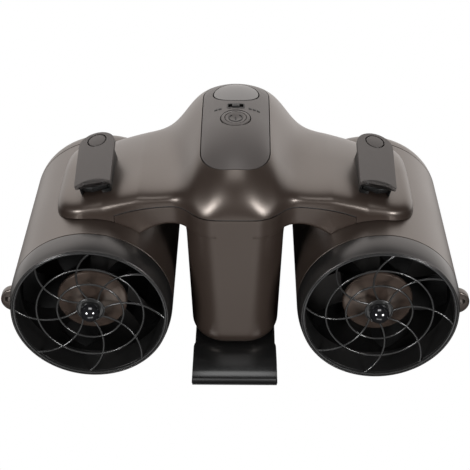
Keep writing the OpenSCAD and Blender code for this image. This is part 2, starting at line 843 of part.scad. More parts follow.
tail_bore = bore_r - 2;
module tail_ring(side) {
    bars = 6;
    color(bronze) in_pod(side) union() {
        turned(concat(
            [[bore_r, shell_end - spigot_len], [spigot_r, shell_end - spigot_len],
                [spigot_r, shell_end], [pod_r, shell_end]],
            arc_points(pod_r - tail_round, pod_len - tail_dome, tail_round, tail_dome, 0, 90, 8),
            [[tail_bore, pod_len]]));
        for (k = [0:bars - 1])
            rotate(360 / bars * k + 15)
                translate([15, -1.25, pod_len - 10]) cube([tail_bore - 14, 2.5, 6]);
        turned([[14, pod_len - 10], [17, pod_len - 10], [17, pod_len - 4], [14, pod_len - 4]]);
        turned([[40, pod_len - 9], [42.5, pod_len - 9], [42.5, pod_len - 5], [40, pod_len - 5]]);
    }
}

rotor_y = spinner_y + 3;
hub_r = spinner_r - 1.2;
function blade_section(r) = let (
        k = (r - hub_r) / (bore_r - tip_gap - hub_r),
        c = blade_chord * (0.86 + 0.5 * k - 0.42 * k * k),
        t = blade_t * (1 - 0.62 * k),
        pitch = mix(42, 24, k),
        sweep = 10 * k * k,
        axial = rotor_y + rotor_len / 2
    )
    [for (q = [[-1, 0], [-0.5, 0.62], [0.1, 1], [0.6, 0.8], [1, 0], [0.5, -0.35], [-0.2, -0.3]])
        let (
            u = q[0] * c / 2, v = q[1] * t / 2,
            along = u * cos(pitch) - v * sin(pitch),
            a = (along / r) * 180 / PI + sweep
        )
        [r * cos(a), r * sin(a), axial + u * sin(pitch) + v * cos(pitch)]];

module rotor(side) {
    steps = 7;
    color(black) in_pod(side) mirror([side > 0 ? 1 : 0, 0, 0]) union() {
        difference() {
            translate([0, 0, rotor_y]) cylinder(r = hub_r, h = rotor_len);
            translate([0, 0, rotor_y - 1]) cylinder(r = 12, h = 9);
            translate([0, 0, rotor_y - 1]) cylinder(r = shaft_r, h = rotor_len + 2);
        }
        for (k = [0:blades - 1])
            rotate(360 / blades * k + 30)
                loft([for (i = [0:steps])
                    blade_section(mix(hub_r - 1.5, bore_r - tip_gap, i / steps))]);
    }
}

module spinner(side) {
    bevel = 2.6;
    color(bronze) in_pod(side)
        turned([[0, spinner_y - spinner_cone], [4, spinner_y - spinner_cone],
            [spinner_r - bevel, spinner_y], [spinner_r, spinner_y + bevel],
            [spinner_r, spinner_y + 3], [0, spinner_y + 3]]);
}

module rotor_nut(side) {
    color("silver") in_pod(side)
        difference() {
            translate([0, 0, rotor_y + 1.5]) cylinder(r = 7, h = 6.5, $fn = 6);
            translate([0, 0, rotor_y]) cylinder(r = shaft_r + 0.02, h = 12);
        }
}

module motor_shaft(side) {
    color("silver") in_pod(side)
        translate([0, 0, rotor_y + 2]) cylinder(r = shaft_r, h = motor_y + motor_len - 4 - rotor_y - 2);
}

front_wall_t = bearing_w + 3;
can_r = motor_r - motor_wall;
tail_plug_y = motor_y + motor_len - 12;
module motor_housing(side) {
    color("dimgray") in_pod(side)
        turned([[bearing_r, motor_y + 3], [bearing_r, motor_y + front_wall_t],
            [can_r, motor_y + front_wall_t], [can_r, motor_y + motor_len],
            [motor_r, motor_y + motor_len], [motor_r, motor_y + 2], [motor_r - 2, motor_y],
            [bearing_r - 2, motor_y], [bearing_r - 2, motor_y + 3]]);
}

stator_in = can_r - 11;
stator_y = motor_y + front_wall_t + 5;
stator_len = motor_len - front_wall_t - 12 - 10;
module motor_stator(side) {
    slots = 12;
    color("sienna") in_pod(side) difference() {
        turned([[stator_in, stator_y], [can_r - run_gap, stator_y],
            [can_r - run_gap, stator_y + stator_len], [stator_in, stator_y + stator_len]]);
        for (k = [0:slots - 1])
            rotate(360 / slots * k)
                translate([stator_in - 1, -1.5, stator_y - 1]) cube([7, 3, stator_len + 2]);
    }
}

module motor_magnet(side) {
    color("gray") in_pod(side)
        turned([[shaft_r, stator_y + 1], [stator_in - 0.8, stator_y + 1],
            [stator_in - 0.8, stator_y + stator_len - 1], [shaft_r, stator_y + stator_len - 1]]);
}

module motor_bearings(side) {
    color("silver") in_pod(side)
        for (y = [motor_y + 3, tail_plug_y])
            difference() {
                translate([0, 0, y]) cylinder(r = bearing_r - 0.02, h = bearing_w);
                translate([0, 0, y - 1]) cylinder(r = shaft_r + run_gap, h = bearing_w + 2);
            }
}

module shaft_seal(side) {
    color(black) in_pod(side)
        difference() {
            translate([0, 0, motor_y]) cylinder(r = bearing_r - 2, h = 3);
            translate([0, 0, motor_y - 1]) cylinder(r = shaft_r + run_gap, h = 5);
        }
}

module tail_cone(side) {
    cone_end = motor_y + motor_len + 38;
    color(black) in_pod(side)
        turned([[0, motor_y + motor_len - 3], [bearing_r, motor_y + motor_len - 3],
            [bearing_r, tail_plug_y], [can_r - run_gap, tail_plug_y],
            [can_r - run_gap, motor_y + motor_len], [motor_r, motor_y + motor_len],
            [motor_r - 3, motor_y + motor_len + 12], [motor_r - 14, cone_end - 8],
            [6, cone_end], [0, cone_end]]);
}

lug_eye = lug_h / 2;
module strap_lug(side) {
    color(bronze)
        translate([side * pod_dx, lip_y + lug_y, axis_z])
            mirror([side < 0 ? 1 : 0, 0, 0])
                rotate([-90, 0, 0])
                    difference() {
                        linear_extrude(lug_t)
                            difference() {
                                union() {
                                    translate([pod_r + lug_out - lug_eye, lug_drop]) circle(r = lug_eye);
                                    translate([pod_r - 20, lug_drop - lug_eye])
                                        square([20 + lug_out - lug_eye, lug_h]);
                                }
                                translate([pod_r + lug_hole_r + 0.6, lug_drop - 1.8]) circle(r = lug_hole_r);
                            }
                        translate([0, 0, -1]) cylinder(r = pod_r, h = lug_t + 2);
                    }
}

// ---------------------------------------------------------------- grips

module on_side(side) {
    mirror([side < 0 ? 1 : 0, 0, 0]) children();
}
module on_arm(side) {
    on_side(side)
        translate([grip_x, lip_y + grip_y, roof_z(grip_x, lip_y + grip_y)])
            rotate([grip_tilt, grip_roll, 0])
                children();
}
thumb_y = plate_len / 2 - 13;
trigger_x = -9.5;
trigger_y = -plate_len / 2 + 7;
trigger_low = 7;
bar_r = 3.6;
block_front = trigger_y + 7.5;
block_back = plate_len / 2 - 4;

module plate_outline() {
    corner_r = 2.5;
    tail_r = plate_w / 2;
    hollow_r = (pow(plate_front_w / 2, 2) + pow(plate_hollow, 2)) / (2 * plate_hollow);
    difference() {
        hull() {
            for (sx = [-1, 1])
                translate([sx * (plate_front_w / 2 - corner_r), -plate_len / 2 + corner_r])
                    circle(r = corner_r, $fn = 32);
            translate([0, plate_len / 2 - tail_r]) circle(r = tail_r, $fn = 64);
        }
        translate([0, -plate_len / 2 + plate_hollow - hollow_r]) circle(r = hollow_r, $fn = 96);
    }
}

// Everything below the arm's surface near a grip, grown by a fit gap
module under_grip(side) {
    on_side(side)
        field(grip_x - 22, grip_x + 22, 6, lip_y + 52, lip_y + 152, 14,
            function(x, y) axis_z + 60, function(x, y) roof_z(x, y) + seat_gap);
}

module grip(side) {
    cheek = 1.5;
    color(grey) difference() {
        on_arm(side) difference() {
            union() {
                translate([0, 0, grip_h]) linear_extrude(plate_t) plate_outline();
                translate([-block_w / 2, block_front, -8])
                    cube([block_w, block_back - block_w / 2 - block_front, grip_h + 9]);
                translate([0, block_back - block_w / 2, -8]) cylinder(d = block_w, h = grip_h + 9);
                for (sx = [-1, 1])
                    translate([sx * (block_w - cheek) / 2, (trigger_y + block_front) / 2, grip_h / 2])
                        cube([cheek, block_front - trigger_y + 4, grip_h + 2], center = true);
                translate([-block_w / 2, trigger_y - bar_r, 0])
                    cube([block_w / 2 + trigger_x + bar_r, block_front - trigger_y + bar_r,
                        trigger_low - 0.2]);
            }
            translate([0, thumb_y, 1.5]) cylinder(r = thumb_r + button_gap, h = grip_h + plate_t + 5);
            translate([trigger_x, trigger_y, 4]) cylinder(r = pin_r, h = grip_h - 2);
        }
        under_grip(side);
    }
}

module trigger(side) {
    color(black) on_arm(side)
        translate([trigger_x, trigger_y, trigger_low])
            difference() {
                linear_extrude(grip_h - trigger_low - 0.2)
                    hull() {
                        circle(r = bar_r, $fn = 32);
                        translate([trigger_span / 2, -2.6]) circle(r = bar_r + 0.6, $fn = 32);
                        translate([trigger_span - bar_r, 0]) circle(r = bar_r, $fn = 32);
                    }
                translate([0, 0, -1]) cylinder(r = pin_r + run_gap, h = grip_h);
            }
}

module trigger_pin(side) {
    color("silver") on_arm(side)
        translate([trigger_x, trigger_y, 5.2]) cylinder(r = pin_r, h = grip_h - 3.4);
}

module thumb_button(side) {
    color(grey) on_arm(side)
        translate([0, thumb_y, 0])
            union() {
                translate([0, 0, grip_h - 2]) cylinder(r = thumb_r, h = plate_t + 2.2);
                translate([0, 0, thumb_travel + 1.8]) cylinder(r = 3, h = grip_h - 4);
            }
}

top_cover();
lower_shell();
shell_gasket();
cover_screws();
control_panel();
display_window();
display_board();
power_button();
mode_slider();
battery_case();
battery_cells();
controller_board();
charge_socket();
charge_cap();
stand();
stand_sole();
stand_screws();
duct_shell(-1);  // duct_shell_left
intake_ring(-1);  // intake_ring_left
intake_guard(-1);  // intake_guard_left
guard_cap(-1);  // guard_cap_left
duct_liner(-1);  // duct_liner_left
tail_ring(-1);  // tail_ring_left
rotor(-1);  // rotor_left
spinner(-1);  // spinner_left
rotor_nut(-1);  // rotor_nut_left
motor_shaft(-1);  // motor_shaft_left
motor_magnet(-1);  // motor_magnet_left
motor_housing(-1);  // motor_housing_left
motor_stator(-1);  // motor_stator_left
motor_bearings(-1);  // motor_bearings_left
shaft_seal(-1);  // shaft_seal_left
tail_cone(-1);  // tail_cone_left
strap_lug(-1);  // strap_lug_left
duct_shell(1);  // duct_shell_right
intake_ring(1);  // intake_ring_right
intake_guard(1);  // intake_guard_right
guard_cap(1);  // guard_cap_right
duct_liner(1);  // duct_liner_right
tail_ring(1);  // tail_ring_right
rotor(1);  // rotor_right
spinner(1);  // spinner_right
rotor_nut(1);  // rotor_nut_right
motor_shaft(1);  // motor_shaft_right
motor_magnet(1);  // motor_magnet_right
motor_housing(1);  // motor_housing_right
motor_stator(1);  // motor_stator_right
motor_bearings(1);  // motor_bearings_right
shaft_seal(1);  // shaft_seal_right
tail_cone(1);  // tail_cone_right
strap_lug(1);  // strap_lug_right
grip(-1);  // grip_left
trigger(-1);  // trigger_left
trigger_pin(-1);  // trigger_pin_left
thumb_button(-1);  // thumb_button_left
grip(1);  // grip_right
trigger(1);  // trigger_right
trigger_pin(1);  // trigger_pin_right
thumb_button(1);  // thumb_button_right
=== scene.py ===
import math

import bpy
from mathutils import Matrix, Vector


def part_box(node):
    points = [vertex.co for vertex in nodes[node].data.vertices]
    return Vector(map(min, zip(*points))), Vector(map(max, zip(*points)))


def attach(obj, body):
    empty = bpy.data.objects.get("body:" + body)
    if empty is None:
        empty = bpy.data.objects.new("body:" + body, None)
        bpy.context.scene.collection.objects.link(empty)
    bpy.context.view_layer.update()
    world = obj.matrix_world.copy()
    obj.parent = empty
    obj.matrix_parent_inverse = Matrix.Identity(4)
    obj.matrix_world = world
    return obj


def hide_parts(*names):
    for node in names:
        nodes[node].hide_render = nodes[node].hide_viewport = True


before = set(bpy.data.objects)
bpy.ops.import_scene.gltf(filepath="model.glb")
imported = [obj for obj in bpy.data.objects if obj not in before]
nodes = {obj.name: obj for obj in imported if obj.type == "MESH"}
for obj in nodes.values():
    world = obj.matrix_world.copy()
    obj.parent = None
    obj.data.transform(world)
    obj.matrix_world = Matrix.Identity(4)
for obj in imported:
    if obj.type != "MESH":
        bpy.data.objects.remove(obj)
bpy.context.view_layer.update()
scene = bpy.context.scene


# ---------------------------------------------------------------- inner parts
# Motors, liners, cells, boards, the charging cap, seals and screws sit in the shells and keep the
# construction's own solids. They are cast alloy, wound copper, steel, rubber and moulded plastic,
# and each gets the finish of its stuff, but the duct liners and tail cones are near-black with their
# reflections held down, which paints the shade inside the ducts.
class Value:
    """A shader socket that can be reckoned with like a number, so that a finish reads as a formula."""

    def __init__(self, tree, socket):
        self.tree = tree
        self.socket = socket

    def maths(self, operation, first, second, clamp=False):
        node = added(self.tree, "ShaderNodeMath", {"operation": operation, "use_clamp": clamp},
                     {0: first, 1: second})
        return Value(self.tree, node.outputs[0])

    def __add__(self, other):
        return self.maths("ADD", self, other)

    def __sub__(self, other):
        return self.maths("SUBTRACT", self, other)

    def __rsub__(self, other):
        return self.maths("SUBTRACT", other, self)

    def __mul__(self, other):
        return self.maths("MULTIPLY", self, other)

    def clamp(self):
        return self.maths("ADD", self, 0.0, clamp=True)

    __radd__ = __add__
    __rmul__ = __mul__


def fitted(tree, node, sockets):
    """Sets a node's sockets to values, or links them to other sockets."""
    for key, value in sockets.items():
        source = value.socket if isinstance(value, Value) else value
        if isinstance(source, bpy.types.NodeSocket):
            tree.links.new(source, node.inputs[key])
        else:
            node.inputs[key].default_value = source
    return node


def added(tree, kind, settings, sockets):
    """A new node of a type, with its settings made before its sockets."""
    node = tree.nodes.new(kind)
    for key, value in settings.items():
        setattr(node, key, value)
    return fitted(tree, node, sockets)


def noise(tree, scale, detail, stretch=(1, 1, 1)):
    """Noise over the piece's own coordinates; the scale is in features per metre."""
    place = added(tree, "ShaderNodeTexCoord", {}, {})
    mapping = added(tree, "ShaderNodeMapping", {}, {"Vector": place.outputs["Object"], "Scale": stretch})
    texture = added(tree, "ShaderNodeTexNoise", {},
                    {"Vector": mapping.outputs["Vector"], "Scale": scale, "Detail": detail})
    return Value(tree, texture.outputs["Fac"])


def edge_wear(tree):
    """1 on sharp outer edges, 0 elsewhere."""
    geometry = added(tree, "ShaderNodeNewGeometry", {}, {})
    return ((Value(tree, geometry.outputs["Pointiness"]) - 0.52) * 9).clamp()


def blend(tree, factor, low, high):
    """Colour between two colours by a shader value."""
    node = added(tree, "ShaderNodeMix", {"data_type": "RGBA"}, {"Factor": factor, "A": low, "B": high})
    return node.outputs["Result"]


def finish(name, dark, light, rough, grain=900, bump=0.02, metallic=0.0, coat=0.0, coat_rough=0.1,
           wear=0.0, specular=0.5, tint=(1, 1, 1), stretch=(1, 1, 1)):
    """A moulded or worked surface: patchy colour, uneven gloss, fine grain and worn edges."""
    material = bpy.data.materials.new(name)
    material.use_nodes = True
    tree = material.node_tree
    patches = noise(tree, 14, 3)
    fine = noise(tree, grain, 2, stretch)
    colour = blend(tree, (patches * 0.7 + fine * 0.3).clamp(), (*dark, 1), (*light, 1))
    if wear:
        rubbed = [min(1, c * 1.8 + 0.02) for c in light]
        colour = blend(tree, edge_wear(tree) * wear, colour, (*rubbed, 1))
    height = added(tree, "ShaderNodeBump", {}, {"Strength": bump, "Distance": 0.0002, "Height": fine})
    fitted(tree, tree.nodes["Principled BSDF"], {
        "Base Color": colour,
        "Roughness": (patches * 0.08 + fine * 0.06 + (rough - 0.07)).clamp(),
        "Metallic": metallic,
        "Specular IOR Level": specular,
        "Specular Tint": (*tint, 1),
        "Coat Weight": coat,
        "Coat Roughness": coat_rough,
        "Normal": height.outputs["Normal"],
    })
    return material


alloy = finish("aluminium", (0.20, 0.20, 0.21), (0.28, 0.28, 0.29), 0.42, grain=2200, bump=0.04,
               metallic=0.9)
copper = finish("copper", (0.42, 0.16, 0.07), (0.62, 0.28, 0.14), 0.38, grain=1800, bump=0.2,
                metallic=1.0, stretch=(1, 8, 1))
magnet = finish("magnet", (0.24, 0.24, 0.25), (0.36, 0.36, 0.37), 0.35, grain=1200, bump=0.05,
                metallic=1.0)
steel = finish("steel", (0.42, 0.42, 0.43), (0.62, 0.62, 0.63), 0.3, grain=900, bump=0.03,
               metallic=1.0, stretch=(1, 12, 1))
rubber = finish("rubber", (0.010, 0.010, 0.010), (0.018, 0.018, 0.018), 0.75, grain=2500, bump=0.15)
# Near-black with reflections held down: painted shade for the insides of the ducts.
duct_shade = finish("deep_black", (0.0015, 0.0015, 0.0015), (0.0025, 0.0025, 0.0025), 0.45, grain=2500,
              bump=0.02, specular=0.03)
black = finish("black_plastic", (0.007, 0.007, 0.007), (0.011, 0.010, 0.010), 0.30, grain=3000,
               bump=0.03, wear=0.15)
sleeve = finish("cell_sleeve", (0.02, 0.08, 0.22), (0.03, 0.11, 0.28), 0.3, grain=300, bump=0.02,
                coat=0.4)
board = finish("board", (0.010, 0.060, 0.026), (0.016, 0.100, 0.045), 0.4, grain=500, bump=0.03,
               coat=0.3)
bronze = finish("bronze_shell", (0.016, 0.0108, 0.0085), (0.021, 0.0145, 0.0115), 0.36, grain=2600,
                bump=0.03, specular=0.78, tint=(1, 0.89, 0.81), wear=0.2)
inner = {
    "motor_housing": alloy, "motor_stator": copper, "motor_magnet": magnet, "motor_shaft": steel,
    "motor_bearings": steel, "rotor_nut": steel, "shaft_seal": rubber, "duct_liner": duct_shade,
    "tail_cone": duct_shade, "trigger_pin": steel, "battery_case": black, "battery_cells": sleeve,
    "controller_board": board, "display_board": board, "charge_socket": black, "charge_cap": rubber,
    "cover_screws": steel, "stand_screws": steel, "shell_gasket": rubber,
}
for name, node in nodes.items():
    plain = name.replace("_left", "").replace("_right", "")
    node.data.materials.clear()
    node.data.materials.append(inner.get(plain, bronze))


# ---------------------------------------------------------------- duct shells
# Each pod's outer tube is a thin moulded skin in satin bronze-brown, clamped between the intake
# ring and the tail ring. Sizes from here on are in mm, and places count from the middle of the
# body, the plane of the intake lips and the height of the pods' axes.
MM = 0.001
SIDES = {"left": -1, "right": 1}
ring_low, ring_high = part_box("intake_ring_left")
tail_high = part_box("tail_ring_left")[1]
pod = (ring_high.z - ring_low.z) / 2 / MM
pod_x = -(ring_high.x + ring_low.x) / 2 / MM
axis_z = ring_low.z + pod * MM
pod_len = 217
lip_y = tail_high.y - pod_len * MM


def put(p):
    """From a place in mm to the frame's metres."""
    return Vector((p[0] * MM, lip_y + p[1] * MM, axis_z + p[2] * MM))


def fresh():
    """Leaves edit mode and selects nothing."""
    if bpy.context.object and bpy.context.object.mode != "OBJECT":
        bpy.ops.object.mode_set(mode="OBJECT")
    bpy.ops.object.select_all(action="DESELECT")


def chosen(piece):
    fresh()
    piece.select_set(True)
    bpy.context.view_layer.objects.active = piece
    return piece


def from_points(name, points, edges=(), faces=()):
    """A new active object from points in metres."""
    mesh = bpy.data.meshes.new(name)
    mesh.from_pydata([tuple(p) for p in points], list(edges), list(faces))
    piece = bpy.data.objects.new(name, mesh)
    scene.collection.objects.link(piece)
    return chosen(piece)


def outward(piece, merge=0.0):
    """Merges the active piece's doubled points, where asked, and turns its faces outward."""
    bpy.ops.object.mode_set(mode="EDIT")
    bpy.ops.mesh.select_all(action="SELECT")
    if merge:
        bpy.ops.mesh.remove_doubles(threshold=merge)
    bpy.ops.mesh.normals_make_consistent(inside=False)
    bpy.ops.object.mode_set(mode="OBJECT")
    return piece


def spun(name, points, closed, steps, centre, axis, merge):
    """A solid turned about an axis from the points of its profile."""
    edges = [(i, i + 1) for i in range(len(points) - 1)]
    if closed:
        edges.append((len(points) - 1, 0))
    piece = from_points(name, points, edges)
    bpy.ops.object.mode_set(mode="EDIT")
    bpy.ops.mesh.select_all(action="SELECT")
    bpy.ops.mesh.spin(steps=steps, angle=2 * math.pi, center=centre, axis=axis)
    return outward(piece, merge)


def turned(name, profile, sign, steps=144):
    """A solid turned about a pod's axis from (radius, depth behind the lip) points."""
    points = [put((sign * pod_x + r, d, 0)) for r, d in profile]
    closed = profile[0][0] > 0 or profile[-1][0] > 0
    return spun(name, points, closed, steps, put((sign * pod_x, 0, 0)), (0, 1, 0), 2e-6)


def smooth(piece, angle=35):
    """Smooth shading, apart from edges sharper than an angle."""
    chosen(piece)
    bpy.ops.object.shade_smooth_by_angle(angle=math.radians(angle))


def hand_over(piece, material, body, slot, *replaced):
    """Gives a piece its material and its body, and hides the nodes that it stands for. The slot is not
    used.
    """
    piece.data.materials.clear()
    piece.data.materials.append(material)
    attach(piece, body)
    if replaced:
        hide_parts(*replaced)
    return piece


ring_len, shell_end = 25, 198
shell_t, edge, joint = 3.1, 0.3, 0.4
front_end, rear_end = ring_len + joint, shell_end - joint
for side, sign in SIDES.items():
    profile = [
        (pod - shell_t, front_end), (pod - edge, front_end), (pod, front_end + edge),
        (pod, rear_end - edge), (pod - edge, rear_end), (pod - shell_t, rear_end),
    ]
    piece = turned(f"shell_{side}", profile, sign)
    smooth(piece)
    hand_over(piece, bronze, "scooter", "bronze_shell", f"duct_shell_{side}")


# ---------------------------------------------------------------- intake rings
# A satin black moulding that swells from a narrow lip to the tube's width. A rebate inside the
# lip seats the guard, and a spigot behind it slides into the tube.
def arc(cx, cy, r, start, end, steps=8):
    """Points of a round edge in a profile, from one angle to another."""
    angles = [math.radians(start + (end - start) * i / steps) for i in range(steps + 1)]
    return [(cx + r * math.cos(a), cy + r * math.sin(a)) for a in angles]


def mix(a, b, k):
    return a + (b - a) * k


satin = finish("satin_black", (0.006, 0.006, 0.006), (0.009, 0.009, 0.009), 0.30, grain=3000,
               bump=0.02, specular=0.52, tint=(1, 0.95, 0.93))
bore = pod - 7.2
spigot_r, spigot_len = pod - shell_t - 0.3, 8
lip_taper, lip_depth, lip_round = 3.4, 1.5, 1
seat_w, seat_depth = 2.45, 4


def ring_r(depth):
    """Outer radius of an intake ring at a depth behind the lip."""
    return pod - lip_taper * (1 - depth / ring_len) ** 2.2


for side, sign in SIDES.items():
    profile = [(bore + seat_w, 0.6), (bore + seat_w + 0.15, 0.5)]
    profile += arc(ring_r(lip_depth) - lip_round, lip_depth, lip_round, -90, 0, 6)
    depths = [mix(lip_depth, ring_len - joint - edge, i / 14) for i in range(1, 15)]
    profile += [(ring_r(d), d) for d in depths]
    profile += [
        (pod - edge, ring_len - joint), (spigot_r, ring_len - joint), (spigot_r, ring_len + spigot_len),
        (bore, ring_len + spigot_len), (bore, seat_depth), (bore + seat_w, seat_depth),
    ]
    piece = turned(f"intake_{side}", profile, sign, 180)
    smooth(piece, 40)
    hand_over(piece, satin, "scooter", "black_plastic", f"intake_ring_{side}")


# ---------------------------------------------------------------- guards
# A black grille in each intake: three rings and eight curved wires on a shallow dish, all round
# in section, between a flat boss in the middle and a hoop that sits in the ring's rebate.
def joined(pieces, name):
    fresh()
    for piece in pieces:
        piece.select_set(True)
    bpy.context.view_layer.objects.active = pieces[0]
    if len(pieces) > 1:
        bpy.ops.object.join()
    pieces[0].name = name
    return pieces[0]


def drawn(name, points, radius, resolution):
    """A round wire through points in metres, made a mesh."""
    curve = bpy.data.curves.new(name, "CURVE")
    curve.dimensions = "3D"
    curve.bevel_depth = radius * MM
    curve.bevel_resolution = resolution
    curve.use_fill_caps = True
    spline = curve.splines.new("POLY")
    spline.points.add(len(points) - 1)
    for knot, p in zip(spline.points, points):
        knot.co = (*p, 1)
    piece = bpy.data.objects.new(name, curve)
    scene.collection.objects.link(piece)
    chosen(piece)
    bpy.ops.object.convert(target="MESH")
    return bpy.context.object


wire = finish("wire_black", (0.012, 0.012, 0.012), (0.018, 0.018, 0.018), 0.24, grain=1500, bump=0.01)
guard_dish, rim_dish = 10, 2.4
hub_ring, hoop_r, wire_r = 13, bore + 2.4, 0.95
wire_count, wire_bow, wire_lead = 8, 43.5, 12
first_wire = {"left": -4.7, "right": -9}
guard_rings = (hub_ring, 32, 51.5)
boss_t = 1.2


def dish(r):
    """Depth of the guard's wires behind the lip at a radius."""
    return guard_dish - (guard_dish - rim_dish) * (r - hub_ring) / (hoop_r - hub_ring)


def guard_ring(sign, r):
    bpy.ops.mesh.primitive_torus_add(major_segments=128, minor_segments=14, major_radius=r * MM,
                                     minor_radius=wire_r * MM)
    piece = bpy.context.object
    middle = put((sign * pod_x, dish(r), 0))
    piece.data.transform(Matrix.Translation(middle) @ Matrix.Rotation(math.pi / 2, 4, "X"))
    return piece


def guard_wire(sign, turn):
    """A wire swept along an arc from the hub ring to the hoop."""
    lead = math.radians(wire_lead)
    inner_end = Vector((hub_ring * math.cos(lead), hub_ring * math.sin(lead), guard_dish))
    outer_end = Vector((hoop_r - 0.8, 0, rim_dish))
    chord = outer_end - inner_end
    across = Vector((chord.y, -chord.x, 0)).normalized()
    half = math.asin(chord.length / 2 / wire_bow)
    c, s = math.cos(turn), math.sin(turn)
    points = []
    steps = 25
    for i in range(steps + 1):
        a = half * (2 * i / steps - 1)
        p = (inner_end + outer_end) / 2 + chord.normalized() * wire_bow * math.sin(a)
        p -= across * wire_bow * (math.cos(a) - math.cos(half))
        points.append(put((sign * pod_x + p.x * c - p.y * s, p.z, p.x * s + p.y * c)))
    return drawn("wire", points, wire_r, 4)


for side, sign in SIDES.items():
    fresh()
    parts = [guard_ring(sign, r) for r in guard_rings]
    turns = [360 / wire_count * k + first_wire[side] for k in range(wire_count)]
    parts += [guard_wire(sign, math.radians(turn)) for turn in turns]
    hoop = [(bore + 0.3, 1.1), (bore + 0.9, 0.8), (hoop_r - 0.5, 0.8), (hoop_r, 1.2),
            (hoop_r, seat_depth), (bore + 0.3, seat_depth)]
    parts.append(turned("hoop", hoop, sign))
    boss = [(0, guard_dish), (hub_ring, guard_dish), (hub_ring, guard_dish + boss_t),
            (0, guard_dish + boss_t)]
    parts.append(turned("boss", boss, sign))
    piece = joined(parts, f"guard_{side}")
    smooth(piece, 45)
    hand_over(piece, wire, "scooter", "black_plastic", f"intake_guard_{side}")

# ---------------------------------------------------------------- guard caps
# A ball of polished black plastic in the middle of each guard, flat behind, where it is pressed
# on to the guard's boss.
gloss = finish("gloss_black", (0.006, 0.006, 0.007), (0.009, 0.009, 0.010), 0.09, grain=400,
               bump=0.004, coat=1.0, coat_rough=0.03)
cap_r = 9.6
for side, sign in SIDES.items():
    middle = guard_dish - cap_r * 0.4
    profile = [(0, middle - cap_r)] + arc(0, middle, cap_r, -89, 16, 28) + [(0, guard_dish - 1)]
    piece = turned(f"cap_{side}", profile, sign, 72)
    smooth(piece, 50)
    hand_over(piece, gloss, "scooter", "gloss_black", f"guard_cap_{side}")

# ---------------------------------------------------------------- propellers
# A moulded black hub with five twisted blades, thin at their tips, runs on each motor's rotor
# under a shallow metallic bronze spinner. The two turn opposite ways.
spin_bronze = finish("spinner_bronze", (0.030, 0.021, 0.017), (0.050, 0.036, 0.029), 0.24, grain=1600,
                     bump=0.02, metallic=0.3, specular=0.7, tint=(1, 0.9, 0.8))
spinner_r, spinner_y, spinner_t = 34.2, 24.5, 3
hub_r, hub_len, hub_bore, recess_r, recess = spinner_r - 1.2, 31, 4, 12, 8
rotor_y = spinner_y + spinner_t
blade_count, blade_first, blade_sweep = 5, 30, 10
blade_root, blade_tip = hub_r - 1.5, bore - 1.4
blade_y, blade_chord, blade_thick, blade_pitch, blade_untwist = rotor_y + 15.5, 34, 4.2, 42, 18


def blade(sign, turn, hand):
    """A blade skinned over sections that widen, thin and untwist towards the tip."""
    sections, around = 12, 20
    points = []
    for i in range(sections + 1):
        k = i / sections
        r = mix(blade_root, blade_tip, k)
        chord = blade_chord * (0.86 + 0.5 * k - 0.42 * k * k)
        thick = blade_thick * (1 - 0.62 * k)
        pitch = math.radians(blade_pitch - blade_untwist * k)
        for j in range(around):
            q = 2 * math.pi * j / around
            u = math.cos(q) * chord / 2
            v = math.sin(q) * thick / 2 * (1 if math.sin(q) > 0 else 0.35)
            along = u * math.cos(pitch) - v * math.sin(pitch)
            back = u * math.sin(pitch) + v * math.cos(pitch)
            a = along / r + math.radians(blade_sweep * k * k) + turn
            points.append(put((sign * pod_x + hand * r * math.cos(a), blade_y + back, -r * math.sin(a))))
    faces = [[i * around + j, i * around + (j + 1) % around, (i + 1) * around + (j + 1) % around,
              (i + 1) * around + j] for i in range(sections) for j in range(around)]
    faces += [list(range(around))[::-1], [sections * around + j for j in range(around)]]
    return from_points("blade", points, (), faces)


for side, sign in SIDES.items():
    hub = [(hub_bore, rotor_y + recess), (recess_r, rotor_y + recess), (recess_r, rotor_y),
           (hub_r, rotor_y), (hub_r, rotor_y + hub_len - 1), (hub_r - 1, rotor_y + hub_len),
           (hub_bore, rotor_y + hub_len)]
    parts = [turned("hub", hub, sign, 96)]
    turns = [360 / blade_count * k + blade_first for k in range(blade_count)]
    parts += [blade(sign, math.radians(turn), -sign) for turn in turns]
    piece = outward(joined(parts, f"propeller_{side}"))
    smooth(piece, 50)
    # The propeller gets the ducts' painted shade: near-black, with reflections held down.
    hand_over(piece, duct_shade, f"propeller_{side}", "black_plastic", f"rotor_{side}")
    cone = [(0, spinner_y - 2.4), (4, spinner_y - 2.4), (spinner_r - 2.6, spinner_y),
            (spinner_r - 1, spinner_y + 0.7), (spinner_r - 0.2, spinner_y + 1.6),
            (spinner_r, rotor_y), (0, rotor_y)]
    piece = turned(f"spinner_cap_{side}", cone, sign, 128)
    smooth(piece, 20)
    hand_over(piece, spin_bronze, f"propeller_{side}", "spinner_bronze", f"spinner_{side}")


# ---------------------------------------------------------------- tail rings
# Bronze-brown mouldings that close the pods' rear ends, held in the tubes by a spigot. Six bars
# and two thin hoops across the opening keep hands away from the propeller.
def applied(piece, kind, **settings):
    """Adds a modifier, sets it and applies it."""
    chosen(piece)
    modifier = piece.modifiers.new(kind.lower(), kind)
    for key, value in settings.items():
        setattr(modifier, key, value)
    bpy.ops.object.modifier_apply(modifier=modifier.name)
    return piece


def moved(x, y, z):
    """A shift in mm."""
    return Matrix.Translation((x * MM, y * MM, z * MM))


def block_of(size, place):
    """A block of a size in mm, at a place given as a matrix."""
    fresh()
    bpy.ops.mesh.primitive_cube_add(size=1)
    piece = bpy.context.object
    piece.data.transform(place @ Matrix.Diagonal([v * MM for v in size] + [1]))
    return piece


def chamfered(r0, r1, d0, d1, chamfer=0.5):
    """Profile of a flat hoop between two radii and two depths."""
    return [(r0, d0 + chamfer), (r0 + chamfer, d0), (r1 - chamfer, d0), (r1, d0 + chamfer),
            (r1, d1 - chamfer), (r1 - chamfer, d1), (r0 + chamfer, d1), (r0, d1 - chamfer)]


